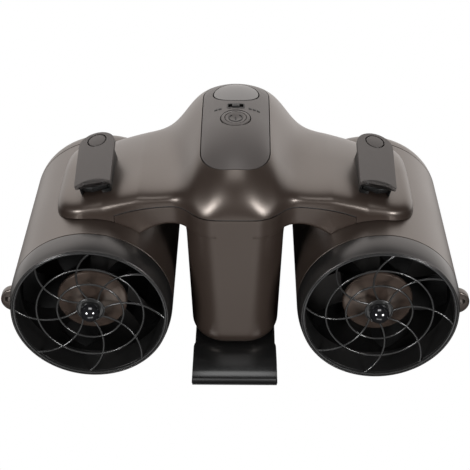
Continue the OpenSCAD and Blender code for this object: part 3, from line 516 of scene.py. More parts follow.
tail_bore, tail_round, tail_reach, tail_lip = bore - 2, 7, 14, 1.5
bar_count, bar_first, bar_y, bar_w, bar_t = 6, 15, pod_len - 7, 6, 2.5
bar_in, bar_out = 14, tail_bore + 1
tail_hoops = ((bar_in, 17), (40, 42.5))
hoop_front, hoop_rear = pod_len - 9.5, pod_len - 4
for side, sign in SIDES.items():
    profile = [
        (bore, shell_end - spigot_len), (spigot_r, shell_end - spigot_len), (spigot_r, shell_end + joint),
        (pod - edge, shell_end + joint), (pod, shell_end + joint + edge),
    ]
    profile += [(pod - tail_round * (1 - math.cos(a)), pod_len - tail_reach * (1 - math.sin(a)))
                for a in [math.pi / 2 * i / 14 for i in range(15)]]
    profile += arc(tail_bore + tail_lip, pod_len - tail_lip, tail_lip, 90, 180, 5)
    parts = [turned("tail", profile, sign, 160)]
    for r0, r1 in tail_hoops:
        parts.append(turned("loop", chamfered(r0, r1, hoop_front, hoop_rear), sign, 72))
    for k in range(bar_count):
        turn = math.radians(360 / bar_count * k + bar_first)
        hub_place = Matrix.Translation(put((sign * pod_x, bar_y, 0))) @ Matrix.Rotation(turn, 4, "Y")
        bar = block_of((bar_out - bar_in, bar_w, bar_t), hub_place @ moved((bar_in + bar_out) / 2, 0, 0))
        parts.append(applied(bar, "BEVEL", width=0.5 * MM, segments=3))
    piece = joined(parts, f"tail_{side}")
    smooth(piece, 40)
    hand_over(piece, bronze, "scooter", "bronze_shell", f"tail_ring_{side}")


# ---------------------------------------------------------------- strap lugs
# A round-ended ear of the same bronze-brown plastic on each pod's outer side, with softened
# edges and a hole through it for a strap.
def cut(piece, cutter, operation="DIFFERENCE"):
    applied(piece, "BOOLEAN", operation=operation, solver="EXACT", object=cutter)
    bpy.data.objects.remove(cutter)
    return piece


lug_out, lug_t, lug_y, lug_drop, lug_half = 11.3, 9, 26.5, 2.8, 13.3
lug_hole, hole_x, hole_z = 3.2, pod_x + pod + 3.8, -1
for side, sign in SIDES.items():
    outline = [(pod - 6, lug_half), (pod - 6, -lug_half)]
    outline += arc(pod + lug_out - lug_half, 0, lug_half, -90, 90, 24)
    points = [put((sign * (pod_x + px), lug_y, -pz - lug_drop)) for px, pz in outline]
    piece = from_points(f"lug_{side}", points, (), [list(range(len(points)))])
    bpy.ops.object.mode_set(mode="EDIT")
    bpy.ops.mesh.select_all(action="SELECT")
    bpy.ops.mesh.extrude_region_move(TRANSFORM_OT_translate={"value": (0, lug_t * MM, 0)})
    outward(piece)
    applied(piece, "BEVEL", width=1.6 * MM, segments=4, limit_method="ANGLE",
            angle_limit=math.radians(50))
    fresh()
    bpy.ops.mesh.primitive_cylinder_add(vertices=48, radius=lug_hole * MM, depth=0.03,
                                        location=put((sign * hole_x, lug_y + lug_t / 2, hole_z)),
                                        rotation=(math.pi / 2, 0, 0))
    cut(piece, bpy.context.object)
    smooth(piece, 35)
    hand_over(piece, bronze, "scooter", "bronze_shell", f"strap_lug_{side}")


# ---------------------------------------------------------------- top cover
# One bronze-brown moulding with a satin face: a hump with a crowned top that runs out into two
# arms over the pods. It is hollow, sits on the lower shell along the seam, and its top is cut
# away in the outline of the control panel.
hump_h, hump_crown, hump_w, hump_out, hump_tail, crest = 155.6, 8.1, 60.3, 25, 29, 119
arm_x, arm_front, arm_rear, arm_corner = 173, 48.5, 188, 29
arm_h, arm_fall, arm_flat, arm_round = 106.6, 0.21, 92, 11
brow_w, flank_front, flank_rear = 45.3, 80, 170
hump_power, rear_power, arm_front_power, arm_rear_power = 6.3, 3.65, 4.6, 1.96
brow_power, brow_fall, brow_reach = 2.11, 3, 60
seam_h, seam_fall, seam_x, wall, gap = 95, 12, 115, 3, 0.8
pod_gap, end_gap = 0.3, 1
nose_top_w = 47.8


def round_off(x, start, radius):
    """How far a quarter round has dropped, past where it starts."""
    d = min(max(abs(x) - start, 0), radius)
    return radius - math.sqrt(radius * radius - d * d)


def hump(x, y):
    """1 on the hump's crest line, falling to 0 on the arms; the hump widens towards the rear."""
    t = min(1, max(0, (y - flank_front) / (flank_rear - flank_front)))
    return 1 / (1 + (abs(x) / mix(brow_w, hump_w, t * t * (3 - 2 * t))) ** hump_power)


def front_y(x):
    """Front edge of the body: the nose between the arms, whose ends are round in plan."""
    swell = math.exp(-(abs(x) / (nose_top_w - 3.2)) ** 5)
    return arm_front - hump_out * swell + round_off(x, arm_x - arm_corner, arm_corner)


def rear_y(x):
    """Rear edge of the body: the hump's tail between the arms."""
    return arm_rear + hump_tail * hump(x, arm_rear) - round_off(x, arm_x - arm_corner, arm_corner)


def pod_top(x):
    """Height of a pod's upper side."""
    return math.sqrt(max(1, pod ** 2 - (abs(x) - pod_x) ** 2))


def crown(x, y):
    """Height of the roof before its front and rear curve down."""
    arm = arm_h - arm_fall * max(0, abs(x) - arm_flat) - round_off(x, arm_x - arm_round, arm_round)
    return mix(arm, hump_h - hump_crown * (x / 30) ** 2, hump(x, y))


def seam(x):
    """Height of the seam, which falls away over the pods."""
    return seam_h - seam_fall * (abs(x) / seam_x) ** 4


def base(x):
    """Height where the roof's curve starts."""
    return max(seam(x) + gap / 2, pod_top(x) + pod_gap)


def rim(x):
    """Lower edge of the roof, which steps down to the pods past the ends of the seam."""
    return seam(x) + gap / 2 if abs(x) <= seam_x + 0.45 else pod_top(x) + end_gap


def roof_power(x, y, s):
    """Power of the roof's curve at a place, s of the way from the crest to its front or rear."""
    if y >= crest:
        return mix(arm_rear_power, rear_power, hump(x, y))
    brow = brow_power - brow_fall * (1 - math.exp(-(x / brow_reach) ** 2)) * s ** 1.4
    return mix(arm_front_power, brow, hump(x, y))


def bulge(s, p):
    """Height of the curve s of the way out, from 1 at the crest to 0 at its end."""
    return max(0, 1 - s ** p) ** (1 / p)


def roof_at(x, a, inset):
    """A point of the roof's section at x, for an angle from 180 at the front to 0 at the rear."""
    p = roof_power(x, crest - 1 if a > 90 else crest, 0)
    s = abs(math.cos(math.radians(a))) ** (2 / p)
    y = crest - s * (crest - front_y(x) - inset) if a > 90 else crest + s * (rear_y(x) - inset - crest)
    if a in (0, 180):
        return x, y, rim(x)
    return x, y, mix(base(x), crown(x, y) - inset, bulge(s, roof_power(x, y, s)))


def roof(x, y):
    """Height of the roof over a place."""
    s = (crest - y) / (crest - front_y(x)) if y < crest else (y - crest) / (rear_y(x) - crest)
    s = min(1, s)
    return mix(base(x), crown(x, y), bulge(s, roof_power(x, y, s)))


def skinned(name, loops, cap_start=True):
    """A mesh skinned over closed loops with equally many points."""
    n = len(loops[0])
    points = [put(p) for loop in loops for p in loop]
    faces = [[i * n + j, i * n + (j + 1) % n, (i + 1) * n + (j + 1) % n, (i + 1) * n + j]
             for i in range(len(loops) - 1) for j in range(n)]
    if cap_start:
        faces.append(list(range(n))[::-1])
    faces.append([(len(loops) - 1) * n + j for j in range(n)])
    return outward(from_points(name, points, (), faces), 0.02 * MM)


def rounded_outline(half, y0, y1, radius, steps=16):
    """Plan outline of a slot with rounded corners, counter-clockwise."""
    corners = [(half - radius, y0 + radius, -90), (half - radius, y1 - radius, 0),
               (-half + radius, y1 - radius, 90), (-half + radius, y0 + radius, 180)]
    return [p for cx, cy, a in corners for p in arc(cx, cy, radius, a, a + 90, steps)]


def prism(outline, low, high):
    """An upright block over a plan outline, to cut with."""
    return skinned("prism", [[(px, py, z) for px, py in outline] for z in (low, high)])


def cover_stations():
    """Places across the body, closer together where the arms' ends round off."""
    start = arm_x - arm_corner
    half = [start * i / 84 for i in range(84)]
    half += [start + arm_corner * math.sin(math.pi / 2 * i / 22) for i in range(23)]
    half = sorted(set(half + [seam_x + 0.4, seam_x + 0.5, arm_x - 0.05, arm_x - wall]))
    return [-x for x in half[:0:-1]] + half


panel_half, panel_front, panel_rear, panel_corner, panel_gap = 32.5, 47.5, 206, 29.5, 0.9
cover_steps = 88
loops = []
for x in cover_stations():
    angles = [180 - 180 * j / cover_steps for j in range(cover_steps + 1)]
    outer = [roof_at(x, a, 0) for a in angles]
    if abs(x) < arm_x - 1:
        inner_side = [roof_at(x, a, wall) for a in angles[::-1]]
    else:
        front, rear = outer[0][1] + wall, outer[-1][1] - wall
        inner_side = [(x, mix(rear, front, j / cover_steps), rim(x)) for j in range(cover_steps + 1)]
    loops.append(outer + inner_side)
cover = skinned("cover", loops)
opening = rounded_outline(panel_half + panel_gap, panel_front - panel_gap, panel_rear + panel_gap,
                          panel_corner + panel_gap, 24)
cut(cover, prism(opening, seam_h + 12, hump_h + 20))
smooth(cover, 40)
hand_over(cover, bronze, "scooter", "bronze_shell", "top_cover")

# ---------------------------------------------------------------- lower shell
# The matching bronze-brown moulding below the seam. It turns in under the arms, lies on the
# pods, sweeps to the nose and runs down it to a rounded bottom.
belly_h, low_round, fillet = 74.5, 2.5, 7
nose_low_w, nose_top_r, nose_low_r, nose_depth, nose_round = 42.4, 30, 34, 102, 17
nose_mid = arm_front - hump_out + nose_depth / 2
nose_low = 19.7 - pod
shadow_gap = 0.35


def nose_reach(c, s, z):
    """Distance from the nose's middle to its outline in a direction, at a height."""
    k = (z - nose_low) / (seam_h - nose_low)
    w, r, d = mix(nose_low_w, nose_top_w, k), mix(nose_low_r, nose_top_r, k), nose_depth / 2
    c, s = abs(c), abs(s)
    if c > 1e-9 and w / c * s <= d - r:
        return w / c
    if s > 1e-9 and d / s * c <= w - r:
        return d / s
    b = c * (w - r) + s * (d - r)
    return b + math.sqrt(max(0, b * b - (w - r) ** 2 - (d - r) ** 2 + r * r))


def belly(x):
    """Height of the arms' underside: flat by the nose, then down to the pod and along it."""
    start = pod_x - pod
    tuck = pod_x - pod * 0.615
    if abs(x) >= tuck:
        return pod_top(x) + pod_gap
    u = max(0, (abs(x) - start) / (tuck - start))
    return belly_h - (belly_h - pod_top(tuck) - pod_gap) * u * u


def shell_column(px, py):
    """A line of points from the seam to the nose's bottom, in one direction from its middle."""
    reach = math.hypot(px, py - nose_mid)
    c, s = px / reach, (py - nose_mid) / reach

    def at(r, z):
        return c * r, nose_mid + s * r, z

    reach = max(reach, nose_reach(c, s, seam_h))
    near = nose_reach(c, s, belly_h)
    spare = max(0, reach - near)
    turn_r = min(low_round, spare)
    soft = min(fillet, spare - turn_r)
    top = seam(px) - gap / 2 - shadow_gap
    start_r, end_r = reach - turn_r, near + soft
    under, corner_z = belly(c * start_r), belly(c * end_r)
    column = [at(reach - wall, top), at(reach, top)]
    column += [at(reach, mix(top, under + turn_r, i / 5)) for i in range(1, 6)]
    for i in range(1, 5):
        a = math.pi / 2 * i / 4
        column.append(at(reach - turn_r * (1 - math.cos(a)), under + turn_r * (1 - math.sin(a))))
    for i in range(1, 31):
        r = mix(start_r, end_r, i / 30)
        column.append(at(r, belly(c * r)))
    for i in range(1, 7):
        a = math.pi / 2 * i / 6
        column.append(at(end_r - soft * math.sin(a), corner_z - soft * (1 - math.cos(a))))
    for i in range(1, 25):
        z = mix(corner_z - soft, nose_low + nose_round, i / 24)
        column.append(at(nose_reach(c, s, z), z))
    for i in range(1, 11):
        a = math.pi / 2 * i / 10
        z = nose_low + nose_round * (1 - math.sin(a))
        column.append(at(nose_reach(c, s, z) - nose_round * (1 - math.cos(a)), z))
    return column


side_front, side_rear = front_y(seam_x), rear_y(seam_x)
plan = [(x, front_y(x)) for x in [seam_x * (i / 70 - 1) for i in range(141)]]
plan += [(seam_x, mix(side_front, side_rear, i / 24)) for i in range(1, 24)]
plan += [(x, rear_y(x)) for x in [seam_x * (1 - i / 70) for i in range(141)]]
plan += [(-seam_x, mix(side_rear, side_front, i / 24)) for i in range(1, 24)]
columns = [shell_column(px, py) for px, py in plan]
loops = [[column[k] for column in columns] for k in range(len(columns[0]))]
shell = skinned("lower", loops, cap_start=False)
smooth(shell, 50)
hand_over(shell, bronze, "scooter", "bronze_shell", "lower_shell")


# ---------------------------------------------------------------- control panel
# A dark grey slab with a fine texture, let into the top cover with a narrow gap all round. It
# follows the roof and has openings for the display window, the button and the slider.
def on_roof(y):
    """Frame on the crest line at a place, with its z square to the roof."""
    tilt = math.atan((roof(0, y + 1) - roof(0, y - 1)) / 2)
    return Matrix.Translation(put((0, y, roof(0, y)))) @ Matrix.Rotation(tilt, 4, "X")


def roof_slab(name, outline, top, thick, steps_x=44, steps_y=90):
    """A slab that follows the roof inside a plan outline."""
    xs = [p[0] for p in outline]
    ys = [p[1] for p in outline]
    places = [mix(min(ys) - 1, max(ys) + 1, j / steps_y) for j in range(steps_y + 1)]
    loops = []
    for i in range(steps_x + 1):
        x = mix(min(xs) - 1, max(xs) + 1, i / steps_x)
        over = [(x, y, roof(x, y) + top) for y in places]
        under = [(x, y, z - thick) for x, y, z in over[::-1]]
        loops.append(over + under)
    return cut(skinned(name, loops), prism(outline, seam_h, hump_h + 20), "INTERSECT")


def round_cutter(y, r):
    fresh()
    bpy.ops.mesh.primitive_cylinder_add(vertices=96, radius=r * MM, depth=0.03)
    tool = bpy.context.object
    tool.data.transform(on_roof(y))
    return tool


grey = finish("panel_grey", (0.042, 0.037, 0.035), (0.054, 0.048, 0.046), 0.48, grain=4200, bump=0.12,
              wear=0.1, tint=(1, 0.95, 0.93))
display_y, display_r, display_gap = 168, 22.5, 0.9
power_y, power_r, power_gap = 112, 14, 1
slot_y, slot_w, slot_len, cut_depth, panel_t = 134.5, 6.8, 16, 30, 3
outline = rounded_outline(panel_half, panel_front, panel_rear, panel_corner, 24)
panel = roof_slab("panel", outline, 0, panel_t)
cut(panel, round_cutter(display_y, display_r + display_gap))
cut(panel, round_cutter(power_y, power_r + power_gap))
slot_tool = block_of((slot_len, slot_w, cut_depth), on_roof(slot_y))
cut(panel, applied(slot_tool, "BEVEL", width=1.2 * MM, segments=4, limit_method="ANGLE"))
smooth(panel, 35)
hand_over(panel, grey, "scooter", "panel_grey", "control_panel")

# ---------------------------------------------------------------- display window
# A round window of smooth dark grey plastic over the display board, flush with the panel, with
# a thin dark gap all round.
window = finish("window_grey", (0.044, 0.041, 0.040), (0.052, 0.049, 0.048), 0.32, grain=800,
                bump=0.01, specular=0.55)
around = display_r + 4
outline = rounded_outline(around, display_y - around, display_y + around, 4)
glass = roof_slab("window", outline, 0, panel_t)
cut(glass, round_cutter(display_y, display_r - 0.3), "INTERSECT")
smooth(glass, 35)
hand_over(glass, window, "scooter", "window", "display_window")

# ---------------------------------------------------------------- power button
# A key of the panel's grey plastic with a soft round edge, a fine groove and a dished middle,
# in which a generic power sign of dull black stands proud: a broken ring and a bar.
jet = finish("jet_black", (0.003, 0.003, 0.003), (0.005, 0.005, 0.005), 0.35, grain=900, bump=0.01,
             specular=0.2)
dish_r, dish_depth, rim_drop, groove, key_edge, key_t = 10.4, 1.5, 0.4, 0.45, 0.6, 3
sign_r, sign_t, sign_gap = 6.5, 0.75, 35


def key_height(r):
    """Height of the key's top at a radius, from the roof at its middle."""
    if r < dish_r:
        return -rim_drop - dish_depth * math.cos(math.pi / 2 * r / dish_r) ** 2
    return -rim_drop - 0.5 * ((r - dish_r) / (power_r - dish_r)) ** 2


top_r = [mix(0, dish_r - groove, i / 12) for i in range(13)]
rim_r = [mix(dish_r + groove, power_r - key_edge, i / 6) for i in range(7)]
edge_z = key_height(rim_r[-1])
profile = [(r, key_height(r)) for r in top_r]
profile.append((dish_r, key_height(dish_r) - 2 * groove))
profile += [(r, key_height(r)) for r in rim_r]
profile += arc(power_r - key_edge, edge_z - key_edge, key_edge, 90, 0, 3)[1:]
profile += [(power_r, -key_t), (0, -key_t)]
points = [(r * MM, 0, z * MM) for r, z in profile]
button = spun("power_key", points, False, 96, (0, 0, 0), (0, 0, 1), 1e-6)
button.data.transform(on_roof(power_y))
smooth(button, 30)
hand_over(button, grey, "power_button", "panel_grey", "power_button")

ring = [(sign_r * math.sin(math.radians(a)), sign_r * math.cos(math.radians(a)) - 0.4)
        for a in [mix(sign_gap, 360 - sign_gap, i / 40) for i in range(41)]]
stroke = [(0, mix(-1.6, 2.4, i / 6)) for i in range(7)]
sign_parts = []
for track in (ring, stroke):
    points = [(px * MM, py * MM, (key_height(math.hypot(px, py)) - 0.2) * MM) for px, py in track]
    sign_parts.append(drawn("sign", points, sign_t, 3))
power_sign = joined(sign_parts, "power_sign")
power_sign.data.transform(on_roof(power_y))
smooth(power_sign, 60)
hand_over(power_sign, jet, "power_button", "gloss_black")

# ---------------------------------------------------------------- mode slider
# A small black knob with three ribs that runs in the slot on a tray below the panel. A thin black
# rim laid round the slot paints the shade along its edges, and short generic marks stand on either side
# of it.
knob_size, rib_size, tray_size = (7, slot_w - 0.4, 5.8), (0.6, 4, 0.6), (11, slot_w + 3, 1.2)
knob_z, rib_z, tray_z = -1.9, 0.95, -5
knob = block_of(knob_size, moved(0, 0, knob_z))
applied(knob, "BEVEL", width=0.7 * MM, segments=4)
parts = [knob]
for rib_x in (-1.6, 0, 1.6):
    rib = block_of(rib_size, moved(rib_x, 0, rib_z))
    parts.append(applied(rib, "BEVEL", width=0.2 * MM, segments=2))
tray = block_of(tray_size, moved(0, 0, tray_z))
parts.append(applied(tray, "BEVEL", width=0.3 * MM, segments=2))
knob = joined(parts, "slider_knob")
knob.data.transform(on_roof(slot_y))
smooth(knob, 40)
hand_over(knob, jet, "mode_slider", "gloss_black", "mode_slider")

# A black rim laid on the panel round the slot: painted shade along the slot's edges.
surround_x, surround_y, surround_r, surround_up, surround_t = 8.9, 4.9, 2.4, 0.25, 1.2
outline = rounded_outline(surround_x, slot_y - surround_y, slot_y + surround_y, surround_r, 6)
slot_shade = roof_slab("slot_surround", outline, surround_up, surround_t, 20, 12)
cut(slot_shade, block_of((slot_len - 1, slot_w - 0.6, cut_depth), on_roof(slot_y)))
smooth(slot_shade, 40)
hand_over(slot_shade, jet, "scooter", "gloss_black")

mark_y, mark_size = -3, (3.2, 3.4, 0.6)
mark_places = (-19.5, -15.5, 14, 18, 22)
marks = []
for mark_x in mark_places:
    mark = block_of(mark_size, Matrix())
    applied(mark, "BEVEL", width=0.15 * MM, segments=2)
    height = roof(mark_x, slot_y + mark_y)
    lean = math.atan(height - roof(mark_x + 1, slot_y + mark_y))
    drop = height - roof(0, slot_y + mark_y)
    mark.data.transform(moved(mark_x, mark_y, drop) @ Matrix.Rotation(lean, 4, "Y"))
    marks.append(mark)
marks = joined(marks, "slider_marks")
marks.data.transform(on_roof(slot_y))
smooth(marks, 40)
hand_over(marks, jet, "scooter", "gloss_black")

# ---------------------------------------------------------------- grips
# A tapered plate of dark grey textured plastic on a black block that stands on each arm, rolled
# outward and tilted forward. The plate's front edge is hollowed for the fingers over a black
# trigger bar, which swings on a steel pin, and a bore near its rear holds the thumb button.
plate_grey = finish("grip_grey", (0.030, 0.0265, 0.025), (0.039, 0.0345, 0.033), 0.50, grain=4200,
                    bump=0.12, wear=0.1, tint=(1, 0.95, 0.93))
grip_x, grip_y, grip_roll, grip_tilt, grip_h = 133, 104, 12.5, 7, 14
plate_w, plate_front_w, plate_len, plate_hollow, plate_t, plate_corner = 36.6, 35.8, 82, 7.5, 4, 2.5
thumb_r, thumb_y, thumb_gap, stem_r = 8.8, plate_len / 2 - 13, 1.1, 3
trigger_x, trigger_y, trigger_low, trigger_span = -9.5, -plate_len / 2 + 7, 7, 22
bar_r, trigger_bow, pin_r = 3.6, 2.6, 1.55
block_w, block_low, block_front, block_back = 30, -9, trigger_y + 7.5, plate_len / 2 - 4
cheek_t, cheek_low = 1.5, -5


def on_arm(sign):
    """Frame of a grip in mm, mirrored for the left one."""
    place = Matrix.Translation(put((grip_x, grip_y, roof(grip_x, grip_y))))
    roll = Matrix.Rotation(math.radians(grip_roll), 4, "Y")
    tilt = Matrix.Rotation(math.radians(grip_tilt), 4, "X")
    return Matrix.Diagonal((sign, 1, 1, 1)) @ place @ roll @ tilt @ Matrix.Scale(MM, 4)


def upright(name, outline, low, high):
    """A block over an outline, in a grip's own mm."""
    n = len(outline)
    points = [(px, py, z) for z in (low, high) for px, py in outline]
    faces = [[j, (j + 1) % n, n + (j + 1) % n, n + j] for j in range(n)]
    faces += [list(range(n))[::-1], list(range(n, 2 * n))]
    return outward(from_points(name, points, (), faces))


def softened(piece, width, segments):
    """Bevels the edges between a block's sides and its ends."""
    return applied(piece, "BEVEL", width=width, segments=segments, limit_method="ANGLE",
                   angle_limit=math.radians(60))


def placed(piece, sign):
    piece.data.transform(on_arm(sign))
    if sign < 0:
        piece.data.flip_normals()
    return piece


def tangent(first, second):
    """Angle of the outward normal on the line that touches two circles, each as x, y, radius."""
    dx, dy = second[0] - first[0], second[1] - first[1]
    return math.degrees(math.atan2(dy, dx) - math.acos((first[2] - second[2]) / math.hypot(dx, dy)))


def plate_outline():
    """Front corners and round tail, with the finger hollow between the corners."""
    front, half, tail_r = -plate_len / 2, plate_front_w / 2, plate_w / 2
    corner = (half - plate_corner, front + plate_corner, plate_corner)
    tail = (0, plate_len / 2 - tail_r, tail_r)
    radius = (half ** 2 + plate_hollow ** 2) / (2 * plate_hollow)
    centre_y = front + plate_hollow - radius
    away = math.hypot(corner[0], corner[1] - centre_y)
    spread = math.acos((away ** 2 + corner[2] ** 2 - radius ** 2) / (2 * away * corner[2]))
    start = math.degrees(math.atan2(centre_y - corner[1], -corner[0]) + spread)
    side_way = tangent(corner, tail)
    right = arc(*corner, start, side_way, 7) + arc(*tail, side_way, 90, 28)
    left = [(-px, py) for px, py in right[-2::-1]]
    meet = math.degrees(math.atan2(right[0][1] - centre_y, right[0][0]))
    return right + left + arc(0, centre_y, radius, 180 - meet, meet, 24)[1:-1]


def block_outline():
    half = block_w / 2
    return [(-half, block_front), (half, block_front)] + arc(0, block_back - half, half, 0, 180, 32)


def bar_outline():
    """The trigger bar, with a round pin end and tip and a front that bulges."""
    pin_end = arc(trigger_x, trigger_y, bar_r, 90, 250, 12)
    front = arc(trigger_x + trigger_span / 2, trigger_y - trigger_bow, bar_r + 0.6, 255, 285, 6)
    return pin_end + front + arc(trigger_x + trigger_span - bar_r, trigger_y, bar_r, -70, 90, 12)


def rod(x, y, r, low, high):
    """A round upright bar, in a grip's own mm."""
    fresh()
    bpy.ops.mesh.primitive_cylinder_add(vertices=64, radius=r, depth=high - low, location=(0, 0, 0))
    piece = bpy.context.object
    piece.data.transform(Matrix.Translation((x, y, (low + high) / 2)))
    return piece


def oblong(x0, x1, y0, y1):
    return [(x0, y0), (x1, y0), (x1, y1), (x0, y1)]


for side, sign in SIDES.items():
    plate = softened(upright("plate", plate_outline(), grip_h, grip_h + plate_t), 1.9, 6)
    cut(plate, rod(0, thumb_y, thumb_r + thumb_gap, grip_h - 2, grip_h + 9))
    plate = placed(plate, sign)
    smooth(plate, 35)
    hand_over(plate, plate_grey, "scooter", "panel_grey", f"grip_{side}")
    plate.name = f"grip_plate_{side}"

    block = softened(upright("block", block_outline(), block_low, grip_h), 1.0, 3)
    for x0 in (-block_w / 2, block_w / 2 - cheek_t):
        outline = oblong(x0, x0 + cheek_t, trigger_y - 2, block_front + 2)
        cheek = upright("cheek", outline, cheek_low, grip_h)
        block = joined([block, applied(cheek, "BEVEL", width=0.4, segments=2)], "block")
    outline = oblong(-block_w / 2 + 0.5, trigger_x + bar_r, trigger_y - bar_r, block_front + 2)
    tongue = upright("tongue", outline, cheek_low, trigger_low - 0.2)
    block = joined([block, applied(tongue, "BEVEL", width=0.5, segments=2)], "block")
    block = placed(block, sign)
    block.name = f"grip_block_{side}"
    smooth(block, 35)
    hand_over(block, jet, "scooter", "black_plastic", f"grip_{side}")

    trigger = softened(upright("bar", bar_outline(), trigger_low, grip_h - 0.2), 2.2, 6)
    cut(trigger, rod(trigger_x, trigger_y, pin_r, trigger_low - 1, grip_h + 1))
    trigger = placed(trigger, sign)
    trigger.name = f"trigger_bar_{side}"
    smooth(trigger, 40)
    hand_over(trigger, jet, f"trigger_{side}", "gloss_black", f"trigger_{side}")

    disc = softened(rod(0, thumb_y, thumb_r, grip_h - 2, grip_h + plate_t + 0.1), 0.7, 4)
    stem = rod(0, thumb_y, stem_r, 3.3, grip_h - 1)
    disc = placed(joined([disc, stem], "disc"), sign)
    disc.name = f"thumb_disc_{side}"
    smooth(disc, 35)
    hand_over(disc, plate_grey, f"thumb_button_{side}", "panel_grey", f"thumb_button_{side}")

# ---------------------------------------------------------------- stand
# A shiny black foot screwed to the nose's bottom, wide in front with a bevelled front edge and
# narrower behind, on a thin sole of black rubber in the same outline.
polish = finish("polished_black", (0.003, 0.003, 0.003), (0.005, 0.005, 0.005), 0.22, grain=900,
                bump=0.005, specular=0.5)
foot_w, foot_lean, foot_h, foot_front, foot_len, foot_total = 42.5, 1.2, 19.7, -10, 48, 112
foot_front_r, foot_rear_r, narrow_r, narrow_w, narrow_front = 1.5, 12, 7, foot_w - 1.5, foot_front + 2
foot_upright, foot_bevel, bevel_reach, sole_t, sole_inset = 8.8, 6.6, 40, 2, 0.6
floor_z = -axis_z / MM


def foot_outline(inset, radius_front, radius_rear, half, y0, y1):
    corners = [(half - radius_front, y0 + radius_front, -90, radius_front),
               (half - radius_rear, y1 - radius_rear, 0, radius_rear),
               (-half + radius_rear, y1 - radius_rear, 90, radius_rear),
               (-half + radius_front, y0 + radius_front, 180, radius_front)]
    return [p for cx, cy, a, r in corners for p in arc(cx, cy, r - inset, a, a + 90, 10)]


def foot_layer(inset, low, high):
    """The foot's wide front and narrow rear in one, with sides that lean in towards the top."""
    outlines = [
        foot_outline(inset, foot_front_r, foot_rear_r, foot_w, foot_front, foot_front + foot_len),
        foot_outline(inset, narrow_r, narrow_r, narrow_w, narrow_front, foot_front + foot_total),
    ]
    blocks = []
    for outline in outlines:
        loops = []
        for z in (low, high):
            lean = 1 - foot_lean / foot_w * (z - floor_z) / foot_h
            loops.append([(px * lean, py, z) for px, py in outline])
        blocks.append(skinned("foot", loops))
    return cut(blocks[0], blocks[1], "UNION")


foot = foot_layer(0, floor_z + sole_t, floor_z + foot_h)
ahead, bevel_z = foot_front - 5, floor_z + foot_upright
profile = [
    (ahead, floor_z - 1), (foot_front, floor_z - 1), (foot_front, bevel_z),
    (foot_front + foot_bevel, bevel_z + foot_bevel * 0.75), (foot_front + bevel_reach, floor_z + foot_h),
    (foot_front + bevel_reach, floor_z + foot_h + 3), (ahead, floor_z + foot_h + 3),
]
cut(foot, skinned("wedge", [[(x, y, z) for y, z in profile] for x in (-60, 60)]))
applied(foot, "BEVEL", width=0.5 * MM, segments=3, limit_method="ANGLE", angle_limit=math.radians(28))
foot.name = "foot"
smooth(foot, 30)
hand_over(foot, polish, "scooter", "black_plastic", "stand")

sole = foot_layer(sole_inset, floor_z, floor_z + sole_t)
sole.name = "sole"
smooth(sole, 30)
hand_over(sole, rubber, "scooter", "rubber", "stand_sole")

# ---------------------------------------------------------------- camera
# A raised view of the intake side from a little to the right of the middle, through a long lens.
# Its place is in metres.
camera_data = bpy.data.cameras.new("camera")
camera_data.sensor_width = 36
camera_data.lens = 89.68
camera_data.shift_x = -0.0013
camera_data.shift_y = 0.0011
camera = bpy.data.objects.new("camera", camera_data)
camera.location = (0.00893, -0.97861, 0.78237)
camera.rotation_euler = (math.radians(55.17), 0, math.radians(0.52))
scene.collection.objects.link(camera)
scene.camera = camera
scene.view_settings.view_transform = "Standard"


# ---------------------------------------------------------------- studio
# A white room to the camera. For every other ray there is a broad warm sweep behind the object
# and near darkness in front. The floor lets those rays through, so that two weak lamps can light
# the object from below, but for a black patch beneath it that paints the floor's shadow there.
def parted(tree, output):
    """The x, y and z of a place, each as a value."""
    place = added(tree, "ShaderNodeTexCoord", {}, {})
    split = added(tree, "ShaderNodeSeparateXYZ", {}, {"Vector": place.outputs[output]})
    return [Value(tree, split.outputs[axis]) for axis in "XYZ"]


def camera_rays(tree):
    """1 for rays straight from the camera, 0 for all others."""
    path = added(tree, "ShaderNodeLightPath", {}, {})
    return Value(tree, path.outputs["Is Camera Ray"])


world = bpy.data.worlds.new("studio")
scene.world = world
world.use_nodes = True
tree = world.node_tree
x, y, z = parted(tree, "Generated")
# The sweep stands behind, fades out before straight above and below, and is brighter higher up,
# where its brighter side is the left one.
behind = ((y - 0.35) * 4).clamp()
below = ((0.92 - z) * 5).clamp()
above = ((z + 0.5) * 4).clamp()
height = z.clamp()
sideways = x * (0.3 - height * 1.1) + 1.5
sweep = behind * below * above * sideways * (height + 1) + 0.02
seen = camera_rays(tree)
fitted(tree, tree.nodes["Background"], {
    "Strength": seen + (1 - seen) * sweep,
    "Color": blend(tree, seen, (1.0, 0.955, 0.925, 1), (1, 1, 1, 1)),
})


def glowing(name, colour):
    """A material that gives off an even colour, with its tree and its shader."""
    material = bpy.data.materials.new(name)
    material.use_nodes = True
    tree = material.node_tree
    shader = added(tree, "ShaderNodeEmission", {}, {"Color": colour})
    fitted(tree, tree.nodes["Material Output"], {"Surface": shader.outputs[0]})
    return material, tree, shader


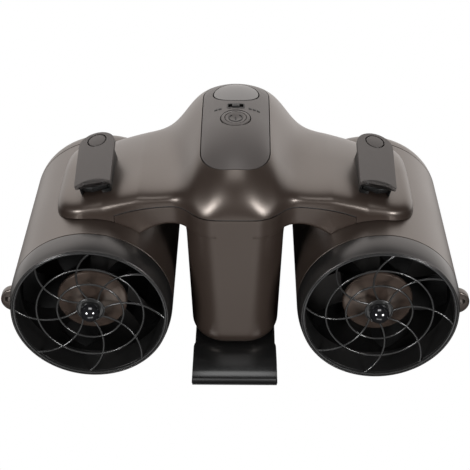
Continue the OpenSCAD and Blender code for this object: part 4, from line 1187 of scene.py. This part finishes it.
BLACK, WHITE = (0, 0, 0, 1), (1, 1, 1, 1)
paper, tree, glow = glowing("paper", WHITE)
x, y, z = parted(tree, "Object")
# Beneath the object the floor is black to every ray but the camera's: a painted shadow of the floor under
# it.
shade = ((0.048 - x * x) * 70).clamp() * ((0.32 - y) * 8).clamp() * ((y + 0.12) * 25).clamp()
clear = added(tree, "ShaderNodeBsdfTransparent", {}, {})
dark = added(tree, "ShaderNodeEmission", {}, {"Color": BLACK})
beneath = added(tree, "ShaderNodeMixShader", {},
                {"Fac": shade, 1: clear.outputs[0], 2: dark.outputs[0]})
either = added(tree, "ShaderNodeMixShader", {},
               {"Fac": camera_rays(tree), 1: beneath.outputs[0], 2: glow.outputs[0]})
fitted(tree, tree.nodes["Material Output"], {"Surface": either.outputs[0]})
bpy.ops.mesh.primitive_plane_add(size=8, location=(0, 0, -0.0002))
floor = bpy.context.object
floor.name = "floor"
floor.data.materials.append(paper)

# A black card behind the nose, which the camera doesn't see, keeps the sweep's light off the
# pods' inner sides.
bpy.ops.mesh.primitive_plane_add(size=1, rotation=(0, math.pi / 2, 0))
card = bpy.context.object
card.name = "dark_card"
card.dimensions = (0.14, 0.3, 0)
card.location = (0, 0.19, 0.071)
card.visible_camera = False
card.data.materials.append(glowing("velvet", BLACK)[0])


def lamp(name, azimuth, elevation, distance, size_x, size_y, power):
    """An area light that looks at the object from a direction."""
    data = bpy.data.lights.new(name, "AREA")
    data.shape = "RECTANGLE"
    data.size = size_x
    data.size_y = size_y
    data.energy = power
    light = bpy.data.objects.new(name, data)
    a, e = math.radians(azimuth), math.radians(elevation)
    back = Vector((math.sin(a) * math.cos(e), -math.cos(a) * math.cos(e), math.sin(e)))
    light.location = Vector((0, 0, 0.12)) + back * distance
    light.rotation_euler = (-back).to_track_quat("-Z", "Y").to_euler()
    light.visible_camera = False
    scene.collection.objects.link(light)
    return light


lamp("overhead", 0, 74, 1.6, 1.0, 0.6, 8)
lamp("front_left", -38, 13, 1.8, 0.45, 0.35, 31)
lamp("front_right", 38, 13, 1.8, 0.45, 0.35, 31)
lamp("low_left", -14, -32, 1.8, 0.7, 0.5, 2.1)
lamp("low_right", 14, -32, 1.8, 0.7, 0.5, 2.1)
